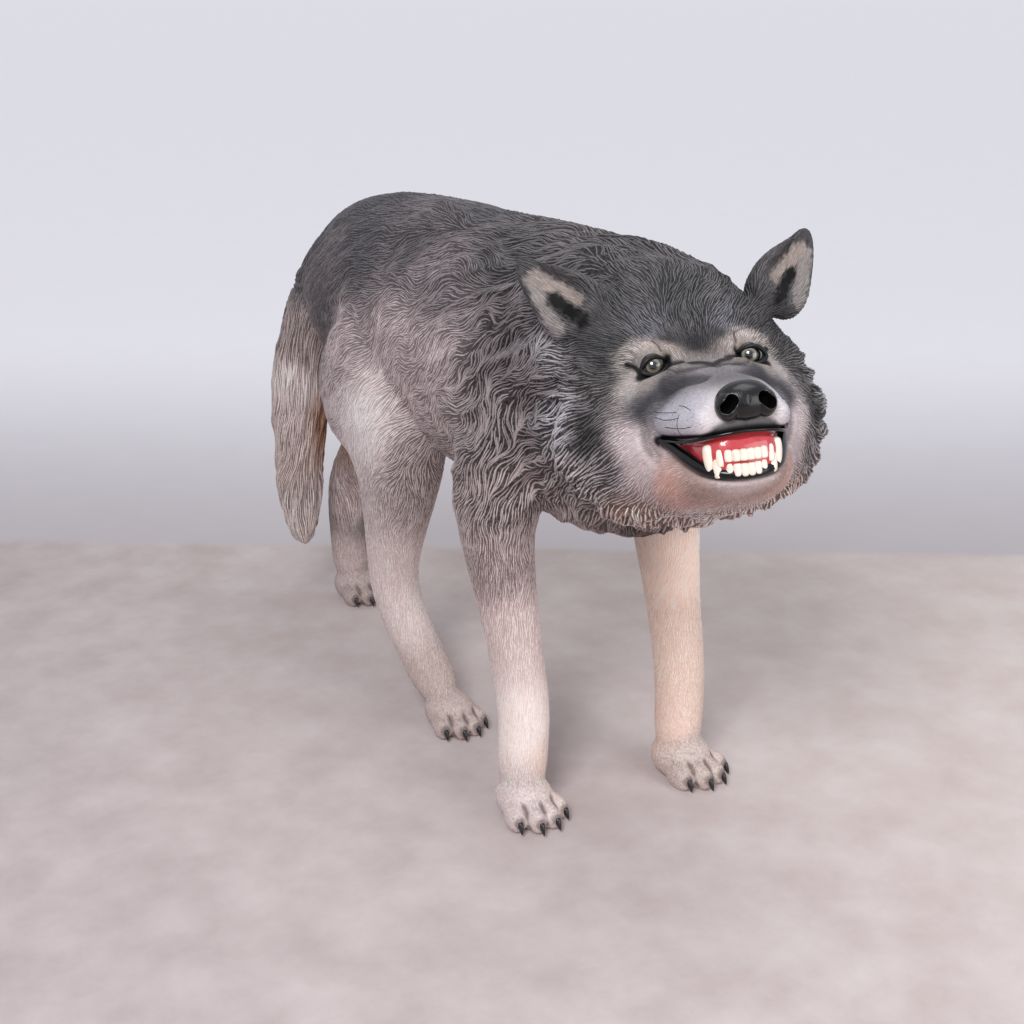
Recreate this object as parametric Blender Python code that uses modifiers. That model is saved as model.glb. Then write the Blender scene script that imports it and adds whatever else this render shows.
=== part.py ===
"""A life-size walking wolf figure, cast in one piece.

The wolf faces -Y and its left side is +X. Its snarling head is turned to its right.
"""

import math

import bmesh
import bpy
import numpy as np
from mathutils import Matrix, Vector, noise

NAME = "wolf_figure"
FUR_COLOUR = (0.22, 0.20, 0.19)
FUR_ROUGHNESS = 0.75

# Fineness of the surface
SIDES = 12
SMOOTH_LEVELS = 2
VOXEL = 0.0042
RELAX_ROUNDS = 8
RELAX_FACTOR = 0.5
BODY_FACES = 8600
MERGE = 0.0001
SHARP_ANGLE = math.radians(40)
# How freely the face, the ruff and the neck are thinned, where the rest of the body is 1, and where each ends
FACE_SPARE, FACE_BACK = 0.78, 0.030
RUFF_SPARE, RUFF_BACK = 0.88, 0.150
NECK_SPARE, NECK_BACK, NECK_LOW = 0.95, -0.080, 0.42
PAW_TOP = 0.070

# Trunk from the rump to the breast: y, widest height, half width, top, underside
TRUNK = [
    (0.455, 0.610, 0.036, 0.655, 0.550),
    (0.415, 0.620, 0.070, 0.712, 0.510),
    (0.330, 0.620, 0.106, 0.774, 0.470),
    (0.210, 0.630, 0.128, 0.803, 0.448),
    (0.080, 0.630, 0.146, 0.808, 0.425),
    (-0.060, 0.620, 0.160, 0.806, 0.402),
    (-0.200, 0.610, 0.168, 0.808, 0.392),
    (-0.320, 0.610, 0.162, 0.796, 0.402),
    (-0.410, 0.610, 0.134, 0.755, 0.428),
    (-0.458, 0.590, 0.086, 0.700, 0.490),
]
TRUNK_TAPER = 0.20

# Legs, bone by bone: share of the bone, half width, front half, back half
FORE_GIRTH = [
    [
        (0.0, 0.056, 0.080, 0.085),
        (0.5, 0.064, 0.085, 0.100),
    ],
    [
        (0.0, 0.054, 0.060, 0.070),
        (0.3, 0.043, 0.050, 0.058),
        (0.65, 0.036, 0.040, 0.046),
    ],
    [
        (0.0, 0.037, 0.040, 0.040),
        (0.5, 0.036, 0.038, 0.034),
        (1.0, 0.036, 0.040, 0.032),
    ],
]
HIND_GIRTH = [
    [
        (0.0, 0.055, 0.098, 0.150),
        (0.5, 0.072, 0.118, 0.190),
    ],
    [
        (0.0, 0.067, 0.084, 0.150),
        (0.4, 0.049, 0.058, 0.086),
        (0.8, 0.039, 0.042, 0.050),
    ],
    [
        (0.1, 0.037, 0.041, 0.041),
        (0.6, 0.035, 0.037, 0.034),
        (1.0, 0.036, 0.038, 0.030),
    ],
]
# Joints: top of the leg, elbow or knee, wrist or hock, ankle
FORE_RIGHT = [(-0.095, -0.220, 0.62), (-0.125, -0.170, 0.43), (-0.112, -0.226, 0.15), (-0.130, -0.237, 0.03)]
FORE_LEFT = [(0.100, -0.220, 0.62), (0.143, -0.215, 0.43), (0.137, -0.274, 0.15), (0.121, -0.287, 0.03)]
HIND_RIGHT = [(-0.070, 0.250, 0.62), (-0.095, 0.075, 0.46), (-0.088, 0.150, 0.20), (-0.062, 0.039, 0.03)]
HIND_LEFT = [(0.070, 0.295, 0.62), (0.092, 0.295, 0.44), (0.084, 0.550, 0.235), (0.086, 0.545, 0.03)]
# Each leg with its girth, its paw's turn to the wolf's left in degrees and the paw's size
LEGS = [
    (FORE_RIGHT, FORE_GIRTH, -6.0, 1.00),
    (FORE_LEFT, FORE_GIRTH, 4.0, 1.04),
    (HIND_RIGHT, HIND_GIRTH, -4.0, 0.95),
    (HIND_LEFT, HIND_GIRTH, 4.0, 0.95),
]

# Paws, in a frame on the ground ahead of the ankle
PAW_AHEAD = 0.015
PAW_RADII = (0.040, 0.046, 0.034)
PAW_MIDDLE = (0.0, 0.004, 0.027)
TOE_RADII = (0.0125, 0.027, 0.019)
TOE_RAISE = 0.016
TOES = [(-0.033, -0.024), (-0.0115, -0.041), (0.0115, -0.041), (0.033, -0.024)]
# Turn of each toe for its distance off the paw's middle, in radians per metre
TOE_FAN = 5.0
SOLE_REACH = 0.0015
# Claws start this share of the toe's length ahead, at this share of its height, and drop by the next
CLAW_SIDES = 6
CLAW_LENGTH = 0.015
CLAW_RADIUS = 0.0058
CLAW_START = 0.72
CLAW_RAISE = 1.05
CLAW_DROP = 0.72
CLAW_BEND = 1.6
CLAW_TAPER = 0.72
CLAW_DEPTH = 1.25

TAIL = [
    ((0.0, 0.380, 0.700), 0.036, 0.036, 0.036),
    ((0.0, 0.445, 0.645), 0.038, 0.038, 0.038),
    ((-0.005, 0.498, 0.560), 0.043, 0.044, 0.044),
    ((-0.010, 0.528, 0.440), 0.048, 0.050, 0.050),
    ((-0.018, 0.534, 0.320), 0.046, 0.048, 0.048),
    ((-0.030, 0.518, 0.215), 0.036, 0.036, 0.036),
    ((-0.037, 0.496, 0.140), 0.014, 0.014, 0.014),
]
NECK = [
    ((0.0, -0.180, 0.625), 0.155, 0.186, 0.190),
    ((-0.012, -0.330, 0.638), 0.162, 0.172, 0.200),
    ((-0.036, -0.425, 0.652), 0.154, 0.148, 0.196),
    ((-0.060, -0.470, 0.668), 0.120, 0.128, 0.150),
]

# The head's own frame: origin between the eyes, x to the wolf's left, y backwards, z up
HEAD_AT = Vector((-0.074, -0.504, 0.710))
HEAD_YAW, HEAD_PITCH, HEAD_ROLL = (math.radians(a) for a in (-28.7, -17.9, -4.0))
# y, widest height, half width, top, bottom
SKULL = [
    (0.170, -0.040, 0.118, 0.094, -0.150),
    (0.125, -0.060, 0.150, 0.110, -0.185),
    (0.085, -0.072, 0.180, 0.106, -0.206),
    (0.055, -0.072, 0.166, 0.078, -0.200),
    (0.028, -0.070, 0.149, 0.046, -0.190),
    (0.002, -0.068, 0.131, 0.018, -0.182),
    (-0.024, -0.068, 0.111, -0.002, -0.172),
    (-0.050, -0.070, 0.090, -0.012, -0.160),
    (-0.068, -0.072, 0.074, -0.020, -0.140),
]
MUZZLE = [
    (0.000, -0.066, 0.096, -0.006, -0.100),
    (-0.035, -0.068, 0.088, -0.010, -0.101),
    (-0.070, -0.068, 0.077, -0.016, -0.101),
    (-0.105, -0.068, 0.067, -0.022, -0.100),
    (-0.135, -0.067, 0.057, -0.028, -0.095),
    (-0.154, -0.065, 0.043, -0.036, -0.090),
]
GUMS = [
    (-0.020, -0.100, 0.058, -0.070, -0.130),
    (-0.060, -0.102, 0.056, -0.070, -0.135),
    (-0.100, -0.106, 0.050, -0.075, -0.142),
    (-0.125, -0.108, 0.043, -0.080, -0.142),
    (-0.145, -0.108, 0.032, -0.085, -0.137),
]
JAW = [
    (0.040, -0.120, 0.118, -0.060, -0.196),
    (-0.020, -0.124, 0.098, -0.080, -0.186),
    (-0.060, -0.128, 0.078, -0.094, -0.174),
    (-0.095, -0.134, 0.060, -0.113, -0.162),
    (-0.122, -0.138, 0.046, -0.128, -0.152),
    (-0.138, -0.139, 0.030, -0.132, -0.146),
]
SKULL_TAPER = 0.30
MUZZLE_TAPER = 0.34
FACE_SQUARE = 0.82

EAR_BASE = Vector((0.122, 0.073, 0.068))
EAR_TIP = Vector((0.182, 0.110, 0.144))
EAR_FACE = Vector((0.30, -0.92, -0.05))
# ring centre, half width, half thickness
EAR = [
    (Vector((0.106, 0.088, 0.044)), 0.036, 0.020),
    (EAR_BASE, 0.046, 0.020),
    (Vector((0.138, 0.078, 0.087)), 0.043, 0.0165),
    (Vector((0.156, 0.089, 0.105)), 0.031, 0.0130),
    (Vector((0.171, 0.101, 0.123)), 0.020, 0.0095),
    (EAR_TIP, 0.008, 0.0060),
]
EAR_SQUARE = 0.9
# The ear's hollow: share of the half width and of the half thickness, where it fades along the ear
EAR_CUP_WIDTH = 0.84
EAR_CUP_SHARE = 1.12
EAR_CUP_FLOOR = 0.45
EAR_CUP_LOW = (-0.12, 0.22)
EAR_CUP_HIGH = (0.96, 0.55)
EAR_CUP_FACING = (0.1, 0.5)
EAR_CUP_REACH = 0.06

EYE_AT = Vector((0.0575, -0.0010, -0.0050))
EYE_RADIUS = 0.0150
LID_RADIUS = 0.0032
# The lids' almond about the eye: across, up, forward
LIDS = [
    (-0.0170, -0.0035, 0.0110),
    (-0.0100, 0.0065, 0.0140),
    (0.0000, 0.0100, 0.0125),
    (0.0090, 0.0075, 0.0085),
    (0.0190, 0.0010, 0.0010),
    (0.0100, -0.0065, 0.0085),
    (0.0000, -0.0105, 0.0120),
    (-0.0100, -0.0095, 0.0130),
]
NOSE_AT = Vector((0.002, -0.149, -0.054))
NOSE_RADII = (0.0325, 0.0195, 0.0220)
WING_AT = (0.0210, -0.0052, -0.0045)
WING_RADII = (0.0134, 0.0150, 0.0160)
NOSTRIL_AT = (0.0197, -0.0215, -0.0026)
NOSTRIL_RADII = (0.0066, 0.0110, 0.0070)

# Teeth: x, y, root height, length down (or up), half width
TOOTH_SIDES = 6
TOOTH_TIP = 0.35
UPPER_TEETH = [
    (0.0048, -0.1450, -0.1040, 0.0140, 0.0044),
    (0.0143, -0.1435, -0.1040, 0.0140, 0.0044),
    (0.0236, -0.1395, -0.1035, 0.0170, 0.0046),
    (0.0382, -0.1280, -0.0990, 0.0285, 0.0062),
]
LOWER_TEETH = [
    (0.0043, -0.1420, -0.1350, 0.0140, 0.0040),
    (0.0128, -0.1405, -0.1345, 0.0140, 0.0040),
    (0.0208, -0.1365, -0.1335, 0.0135, 0.0038),
    (0.0307, -0.1335, -0.1320, 0.0260, 0.0052),
]

# Lip lines from the corner of the mouth to its middle
UPPER_LIP = [
    (0.0735, -0.0560, -0.0890),
    (0.0655, -0.0780, -0.0930),
    (0.0595, -0.1000, -0.0955),
    (0.0510, -0.1235, -0.0950),
    (0.0365, -0.1415, -0.0905),
    (0.0180, -0.1500, -0.0870),
    (0.0000, -0.1515, -0.0860),
]
LOWER_LIP = [
    (0.0720, -0.0585, -0.0915),
    (0.0625, -0.0770, -0.1020),
    (0.0530, -0.0980, -0.1145),
    (0.0415, -0.1200, -0.1270),
    (0.0245, -0.1350, -0.1335),
    (0.0000, -0.1400, -0.1360),
]
LIP_RADIUS = 0.0046
LIP_PIECES = 2
BEAD_ROUNDING = 0
BEAD_MERGE = 0.00005

# Modelling strokes on the head, mirrored across the face: points, reach, height over the surface
HEAD_STROKES = [
    ([(0.058, -0.006, -0.004)], 0.026, -0.0100),
    ([(0.082, 0.022, 0.016), (0.056, 0.016, 0.022), (0.040, -0.002, 0.014)], 0.024, 0.0080),
    ([(0.050, 0.026, 0.025), (0.044, 0.010, 0.014), (0.044, -0.002, 0.005)], 0.010, -0.0030),
    ([(0.042, -0.018, -0.009), (0.028, -0.024, -0.004), (0.0, -0.030, -0.003)], 0.013, -0.0060),
    ([(0.040, -0.032, -0.014), (0.024, -0.038, -0.011), (0.0, -0.042, -0.009)], 0.015, 0.0050),
    ([(0.040, -0.042, -0.018), (0.024, -0.050, -0.014), (0.0, -0.056, -0.012)], 0.009, -0.0035),
    ([(0.052, -0.048, -0.026), (0.030, -0.062, -0.020), (0.010, -0.070, -0.017)], 0.015, 0.0045),
    ([(0.064, -0.052, -0.038), (0.045, -0.064, -0.028), (0.026, -0.094, -0.026)], 0.014, -0.0040),
    ([(0.0, 0.010, 0.018), (0.0, 0.035, 0.042), (0.0, 0.060, 0.070)], 0.030, -0.0070),
    ([(0.070, -0.022, -0.028), (0.050, -0.034, -0.022)], 0.016, 0.0040),
    ([(0.085, -0.042, -0.074), (0.088, -0.044, -0.090), (0.080, -0.048, -0.108)], 0.014, -0.0060),
    ([(0.076, -0.068, -0.072), (0.064, -0.100, -0.076), (0.050, -0.135, -0.078)], 0.022, 0.0040),
    ([(0.058, -0.140, -0.060), (0.044, -0.152, -0.072)], 0.014, 0.0030),
]

# Carved locks: length along the coat, width across it, height, share of the height below the surface
BODY_LOCKS = (0.110, 0.038, 0.0100, 0.4)
RUFF_LOCKS = (0.070, 0.026, 0.0080, 0.3)
TAIL_LOCKS = (0.120, 0.026, 0.0065, 0.4)
LOCK_SHARPNESS = 2.6
# Girth radii that turn the angle round the body and the tail into a length, and the locks' slant
BODY_ROUND, BODY_AXIS, BODY_SLANT = 0.16, 0.60, 0.5
TAIL_ROUND, TAIL_AXIS, TAIL_SLANT = 0.046, (-0.015, 0.520), 0.25
# Heights between which the body's locks fade in, and distances behind the eyes and from the ears
BODY_LOCKS_LOW = (0.38, 0.46)
BODY_LOCKS_BACK = (0.03, 0.13)
EAR_CLEAR = (0.040, 0.075)
# Behind the shoulders the body's locks are this share as high, reached over this length of the back
TRUNK_LOCKS = 0.28
TRUNK_LOCKS_FROM = (-0.16, 0.00)
# The ruff's locks fade in and out behind the eyes, fade in outwards from its axis and end at its rim
RUFF_FRONT = (0.00, 0.05)
RUFF_REAR = (0.15, 0.11)
RUFF_AXIS = -0.05
RUFF_INNER = (0.09, 0.13)
RUFF_RIM = 0.24
RUFF_CROWN = 0.6
RUFF_CROWN_RISE = (0.0, 0.08)
# The tail's locks fade in behind the rump and fade out at its root and tip
TAIL_BACK = (0.46, 0.50)
TAIL_ROOT = (0.66, 0.60)
TAIL_TIP = (0.13, 0.18)
TAIL_REACH = 0.06


def new_object(name, mesh):
    obj = bpy.data.objects.new(name, mesh)
    bpy.context.scene.collection.objects.link(obj)
    return obj


def finish(name, mesh, levels=0):
    bmesh.ops.recalc_face_normals(mesh, faces=mesh.faces)
    data = bpy.data.meshes.new(name)
    mesh.to_mesh(data)
    mesh.free()
    obj = new_object(name, data)
    if levels:
        soft = obj.modifiers.new("soft", "SUBSURF")
        soft.levels = soft.render_levels = levels
    return obj


def tube(name, rings, place=Matrix(), across=Vector((1, 0, 0)), square=1.0, taper=0.0,
         sides=SIDES, levels=SMOOTH_LEVELS):
    """A closed tube through rings of (centre, half width, front or top half, back or underside half)."""
    centres = [Vector(ring[0]) for ring in rings]
    mesh = bmesh.new()
    loops = []
    for i, (_, wide, fore, aft) in enumerate(rings):
        run = centres[min(i + 1, len(rings) - 1)] - centres[max(i - 1, 0)]
        upward = run.cross(across).normalized()
        sideways = upward.cross(run).normalized()
        loop = []
        for s in range(sides):
            turn = 2 * math.pi * s / sides
            side = math.copysign(abs(math.cos(turn)) ** square, math.cos(turn))
            high = math.copysign(abs(math.sin(turn)) ** square, math.sin(turn))
            wide_here = side * wide * (1 - taper * max(high, 0))
            point = centres[i] + sideways * wide_here + upward * (high * (fore if high > 0 else aft))
            loop.append(mesh.verts.new(place @ point))
        loops.append(loop)
    for a, b in zip(loops, loops[1:]):
        for s in range(sides):
            n = (s + 1) % sides
            mesh.faces.new((a[s], a[n], b[n], b[s]))
    mesh.faces.new(list(reversed(loops[0])))
    mesh.faces.new(loops[-1])
    return finish(name, mesh, levels)


def lengthwise(rows):
    """Rings for a tube along y from rows of (y, widest height, half width, top, bottom)."""
    return [((0, y, mid), half, top - mid, mid - low) for y, mid, half, top, low in rows]


def ball(name, at, radii, place=Matrix(), across=16, along=10):
    mesh = bmesh.new()
    size = Matrix.Diagonal((*radii, 1.0))
    spot = place @ Matrix.Translation(at) @ size
    bmesh.ops.create_uvsphere(mesh, u_segments=across, v_segments=along, radius=1.0, matrix=spot)
    return finish(name, mesh)


def leg(joints, girth):
    rings = []
    for top, low, rows in zip(joints, joints[1:], girth):
        for share, wide, fore, aft in rows:
            rings.append((Vector(top).lerp(Vector(low), share), wide, fore, aft))
    return tube("leg", rings)


def paw_matrix(joints, turn, size):
    """The paw's frame, on the ground ahead of the ankle."""
    facing = Matrix.Rotation(math.radians(turn), 4, "Z")
    x, y, _ = Vector(joints[-1]) + facing @ Vector((0, -PAW_AHEAD, 0))
    return Matrix.Translation((x, y, 0)) @ facing @ Matrix.Scale(size, 4)


def toe_matrix(x, y, height):
    """A toe's frame in its paw's frame."""
    return Matrix.Translation((x, y, height)) @ Matrix.Rotation(x * TOE_FAN, 4, "Z")


def paw(place):
    made = [ball("paw", PAW_MIDDLE, PAW_RADII, place)]
    for x, y in TOES:
        made.append(ball("toe", (0, 0, 0), TOE_RADII, place @ toe_matrix(x, y, TOE_RAISE)))
    return made


def head_matrix():
    yaw = Matrix.Rotation(HEAD_YAW, 4, "Z")
    pitch = Matrix.Rotation(HEAD_PITCH, 4, "X")
    roll = Matrix.Rotation(HEAD_ROLL, 4, "Y")
    return Matrix.Translation(HEAD_AT) @ yaw @ pitch @ roll


def mirrored(point, side):
    return Vector((point[0] * side, point[1], point[2]))


def ear(side):
    base, tip = mirrored(EAR_BASE, side), mirrored(EAR_TIP, side)
    face = mirrored(EAR_FACE, side).normalized()
    across = (tip - base).cross(face).normalized()
    rings = [(mirrored(at, side), wide, thick, thick) for at, wide, thick in EAR]
    return tube("ear", rings, head_matrix(), across, square=EAR_SQUARE)


def smooth_step(low, high, values):
    share = np.clip((values - low) / (high - low), 0, 1)
    return share * share * (3 - 2 * share)


def ear_hollow(points, normals, side, place):
    """How far each point sinks into the ear's open face, and which way that is."""
    base, tip = place @ mirrored(EAR_BASE, side), place @ mirrored(EAR_TIP, side)
    face = (place.to_3x3() @ mirrored(EAR_FACE, side)).normalized()
    along = (tip - base).normalized()
    across = along.cross(face).normalized()
    face = np.array(across.cross(along))
    away = points - np.array(base)
    up = away @ np.array(along) / (tip - base).length
    over = away @ np.array(across)
    rise = EAR_TIP - EAR_BASE
    shares = [(row[0] - EAR_BASE).dot(rise) / rise.dot(rise) for row in EAR]
    wide = np.interp(up, shares, [row[1] for row in EAR]) * EAR_CUP_WIDTH
    deep = np.interp(up, shares, [row[2] for row in EAR]) * EAR_CUP_SHARE
    inside = smooth_step(1.0, EAR_CUP_FLOOR, np.abs(over) / wide)
    inside *= smooth_step(*EAR_CUP_LOW, up) * smooth_step(*EAR_CUP_HIGH, up)
    inside *= smooth_step(*EAR_CUP_FACING, normals @ face) * (np.abs(away @ face) < EAR_CUP_REACH)
    return (inside * deep)[:, None] * -face


def near_line(points, line):
    """Distance from each point to a line of points."""
    line = [np.array(p, float) for p in line]
    best = np.linalg.norm(points - line[0], axis=1)
    for a, b in zip(line, line[1:]):
        share = np.clip((points - a) @ (b - a) / ((b - a) @ (b - a)), 0, 1)
        best = np.minimum(best, np.linalg.norm(points - a - share[:, None] * (b - a), axis=1))
    return best


def ridges(along, across, size, seed):
    """Height of the carved locks, from lengths along and across the coat."""
    length, width, height, sunk = size
    values = np.empty(len(along))
    for i in range(len(along)):
        values[i] = noise.noise(Vector((along[i] / length, across[i] / width, seed)))
    return height * (1 - np.clip(np.abs(values) * LOCK_SHARPNESS, 0, 1) - sunk)


def locks(points, local):
    """How far the carved locks lift each point."""
    lift = np.zeros(len(points))
    ears = near_line(local * (-1, 1, 1), (EAR_BASE, EAR_TIP))
    ears = np.minimum(ears, near_line(local, (EAR_BASE, EAR_TIP)))
    x, y, z = points.T
    around = np.arctan2(x, z - BODY_AXIS) * BODY_ROUND + BODY_SLANT * y
    body = smooth_step(*BODY_LOCKS_LOW, z) * smooth_step(*BODY_LOCKS_BACK, local[:, 1])
    body *= 1 - (1 - TRUNK_LOCKS) * smooth_step(*TRUNK_LOCKS_FROM, y)
    picked = body > 0
    lift[picked] += body[picked] * ridges(y[picked], around[picked], BODY_LOCKS, 3.0)
    lx, ly, lz = local.T
    around = np.arctan2(lx, lz - RUFF_AXIS) * BODY_ROUND
    out = np.hypot(lx, lz - RUFF_AXIS)
    ruff = smooth_step(*RUFF_FRONT, ly) * smooth_step(*RUFF_REAR, ly)
    ruff *= smooth_step(*RUFF_INNER, out) * (out < RUFF_RIM)
    ruff *= 1 - RUFF_CROWN * smooth_step(*RUFF_CROWN_RISE, lz)
    picked = ruff > 0
    lift[picked] += ruff[picked] * ridges((ly + out)[picked], around[picked], RUFF_LOCKS, 8.0)
    tail = smooth_step(*TAIL_BACK, y) * smooth_step(*TAIL_ROOT, z) * smooth_step(*TAIL_TIP, z)
    tail *= np.abs(x - TAIL_AXIS[0]) < TAIL_REACH
    around = np.arctan2(x - TAIL_AXIS[0], y - TAIL_AXIS[1]) * TAIL_ROUND + TAIL_SLANT * z
    picked = tail > 0
    lift[picked] += tail[picked] * ridges(z[picked], around[picked], TAIL_LOCKS, 15.0)
    return lift * smooth_step(*EAR_CLEAR, ears)


def modelled(points, normals):
    """Points moved by the head's strokes, the hollows of the ears and the carved locks."""
    place = head_matrix()
    inward = np.array(place.inverted())
    local = points @ inward[:3, :3].T + inward[:3, 3]
    height = np.zeros(len(points))
    for line, reach, high in HEAD_STROKES:
        near = np.full(len(points), 1.0)
        for side in (-1, 1):
            near = np.minimum(near, near_line(local, [(x * side, y, z) for x, y, z in line]))
        height += high * smooth_step(reach, 0.0, near)
    height += locks(points, local)
    moved = points + normals * height[:, None]
    for side in (-1, 1):
        moved = moved + ear_hollow(points, normals, side, place)
    return moved


def masses():
    """The figure's swelling masses, before they are run together."""
    made = [tube("trunk", lengthwise(TRUNK), taper=TRUNK_TAPER), tube("neck", NECK), tube("tail", TAIL)]
    for joints, girth, turn, size in LEGS:
        made.append(leg(joints, girth))
        made.extend(paw(paw_matrix(joints, turn, size)))
    place = head_matrix()
    made.append(tube("skull", lengthwise(SKULL), place, square=FACE_SQUARE, taper=SKULL_TAPER))
    made.append(tube("muzzle", lengthwise(MUZZLE), place, square=FACE_SQUARE, taper=MUZZLE_TAPER))
    made.append(tube("gums", lengthwise(GUMS), place, square=FACE_SQUARE))
    made.append(tube("jaw", lengthwise(JAW), place, square=FACE_SQUARE))
    made.extend(ear(side) for side in (-1, 1))
    return made


def applied(obj):
    """The object's mesh with its modifiers applied."""
    graph = bpy.context.evaluated_depsgraph_get()
    data = bpy.data.meshes.new_from_object(obj.evaluated_get(graph))
    name = obj.name
    bpy.data.objects.remove(obj)
    return new_object(name, data)


def joined(objects):
    mesh = bmesh.new()
    graph = bpy.context.evaluated_depsgraph_get()
    for obj in objects:
        mesh.from_object(obj, graph)
    for obj in objects:
        bpy.data.objects.remove(obj)
    data = bpy.data.meshes.new(NAME)
    mesh.to_mesh(data)
    mesh.free()
    return new_object(NAME, data)


def union(body, other):
    """The body with another closed object added to it."""
    add = body.modifiers.new("add", "BOOLEAN")
    add.operation = "UNION"
    add.object = other
    body = applied(body)
    bpy.data.objects.remove(other)
    return body


def cut(body, other):
    """The body with a closed object taken out of it."""
    take = body.modifiers.new("take", "BOOLEAN")
    take.operation = "DIFFERENCE"
    take.object = other
    body = applied(body)
    bpy.data.objects.remove(other)
    return body


def swept(name, points, radius, place, closed=False):
    """A round bead along points, as a closed mesh."""
    curve = bpy.data.curves.new(name, "CURVE")
    curve.dimensions = "3D"
    curve.bevel_depth = radius
    curve.bevel_resolution = BEAD_ROUNDING
    curve.use_fill_caps = True
    spline = curve.splines.new("POLY")
    spline.points.add(len(points) - 1)
    for slot, point in zip(spline.points, points):
        slot.co = (*(place @ Vector(point)), 1.0)
    spline.use_cyclic_u = closed
    bead = applied(new_object(name, curve))
    mesh = bmesh.new()
    mesh.from_mesh(bead.data)
    bmesh.ops.remove_doubles(mesh, verts=mesh.verts, dist=BEAD_MERGE)
    bmesh.ops.recalc_face_normals(mesh, faces=mesh.faces)
    mesh.to_mesh(bead.data)
    mesh.free()
    return bead


def smooth_line(points, pieces):
    """Points along a smooth curve through the given ones, with so many pieces between each two."""
    line = [Vector(p) for p in points]
    line = [line[0] * 2 - line[1]] + line + [line[-1] * 2 - line[-2]]
    found = []
    for a, b, c, d in zip(line, line[1:], line[2:], line[3:]):
        for i in range(pieces):
            t = i / pieces
            bend = (2 * a - 5 * b + 4 * c - d) * t * t + (3 * b - a - 3 * c + d) * t ** 3
            found.append(0.5 * (2 * b + (c - a) * t + bend))
    return found + [line[-2]]


def lip(name, half, place):
    """A lip's bead from one corner of the mouth to the other."""
    right = [mirrored(p, -1) for p in half]
    left = [mirrored(p, 1) for p in reversed(half[:-1])]
    return swept(name, smooth_line(right + left, LIP_PIECES), LIP_RADIUS, place)


def eye(side, place):
    """An eyeball with the rim of its lids."""
    rim = [EYE_AT + Vector((-x, -forward, up)) for x, up, forward in LIDS]
    ball_part = ball("eye", mirrored(EYE_AT, side), (EYE_RADIUS,) * 3, place, across=12, along=9)
    lids = swept("lids", [mirrored(p, side) for p in rim], LID_RADIUS, place, closed=True)
    return union(ball_part, lids)


def nose(place):
    """The nose pad with its two wings and nostrils."""
    pad = ball("nose", NOSE_AT, NOSE_RADII, place, across=14, along=9)
    for side in (-1, 1):
        at = NOSE_AT + mirrored(WING_AT, side)
        pad = union(pad, ball("wing", at, WING_RADII, place, across=9, along=7))
    for side in (-1, 1):
        at = NOSE_AT + mirrored(NOSTRIL_AT, side)
        pad = cut(pad, ball("nostril", at, NOSTRIL_RADII, place, across=8, along=6))
    return pad


def tooth(x, y, root, tall, wide, place, down):
    """A tooth: a short cone on a slightly flattened foot, set into the gum."""
    lean = Matrix.Rotation(math.pi if down else 0.0, 4, "X")
    middle = Vector((x, y, root + (-tall if down else tall) / 2))
    mesh = bmesh.new()
    bmesh.ops.create_cone(
        mesh, cap_ends=True, segments=TOOTH_SIDES, radius1=wide, radius2=wide * TOOTH_TIP, depth=tall,
        matrix=place @ Matrix.Translation(middle) @ lean)
    return finish("tooth", mesh)


def teeth(place):
    made = []
    for rows, down in ((UPPER_TEETH, True), (LOWER_TEETH, False)):
        for x, y, root, tall, wide in rows:
            for side in (-1, 1):
                made.append(tooth(x * side, y, root, tall, wide, place, down))
    return joined(made)


def claws():
    """The claws of every paw, each a bent tapering horn."""
    made = []
    for joints, _, turn, size in LEGS:
        for x, y in TOES:
            place = paw_matrix(joints, turn, size) @ toe_matrix(x, y, 0)
            rings = []
            for share in (0.0, 0.5, 1.0):
                ahead = -TOE_RADII[1] * CLAW_START - CLAW_LENGTH * share
                high = TOE_RADII[2] * (CLAW_RAISE - CLAW_DROP * share ** CLAW_BEND)
                wide = CLAW_RADIUS * (1.0 - CLAW_TAPER * share)
                rings.append(((0, ahead, high), wide, wide * CLAW_DEPTH, wide * CLAW_DEPTH))
            made.append(tube("claw", rings, place, sides=CLAW_SIDES, levels=0))
    return joined(made)


def thinned(body, faces):
    """The body with fewer faces, more of them kept on the face, ruff and paws."""
    place = head_matrix().inverted()
    spare = body.vertex_groups.new(name="spare")
    for vertex in body.data.vertices:
        back = (place @ vertex.co).y
        share = 1.0
        if back < FACE_BACK:
            share = FACE_SPARE
        elif back < RUFF_BACK or vertex.co.z < PAW_TOP:
            share = RUFF_SPARE
        elif vertex.co.y < NECK_BACK and vertex.co.z > NECK_LOW:
            share = NECK_SPARE
        spare.add([vertex.index], share, "REPLACE")
    thin = body.modifiers.new("thin", "DECIMATE")
    thin.ratio = faces / (len(body.data.polygons) * 2)
    thin.vertex_group = "spare"
    thin.vertex_group_factor = 1.0
    body = applied(body)
    body.vertex_groups.clear()
    for vertex in body.data.vertices:
        if vertex.co.z < SOLE_REACH:
            vertex.co.z = 0.0
    return body


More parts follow.
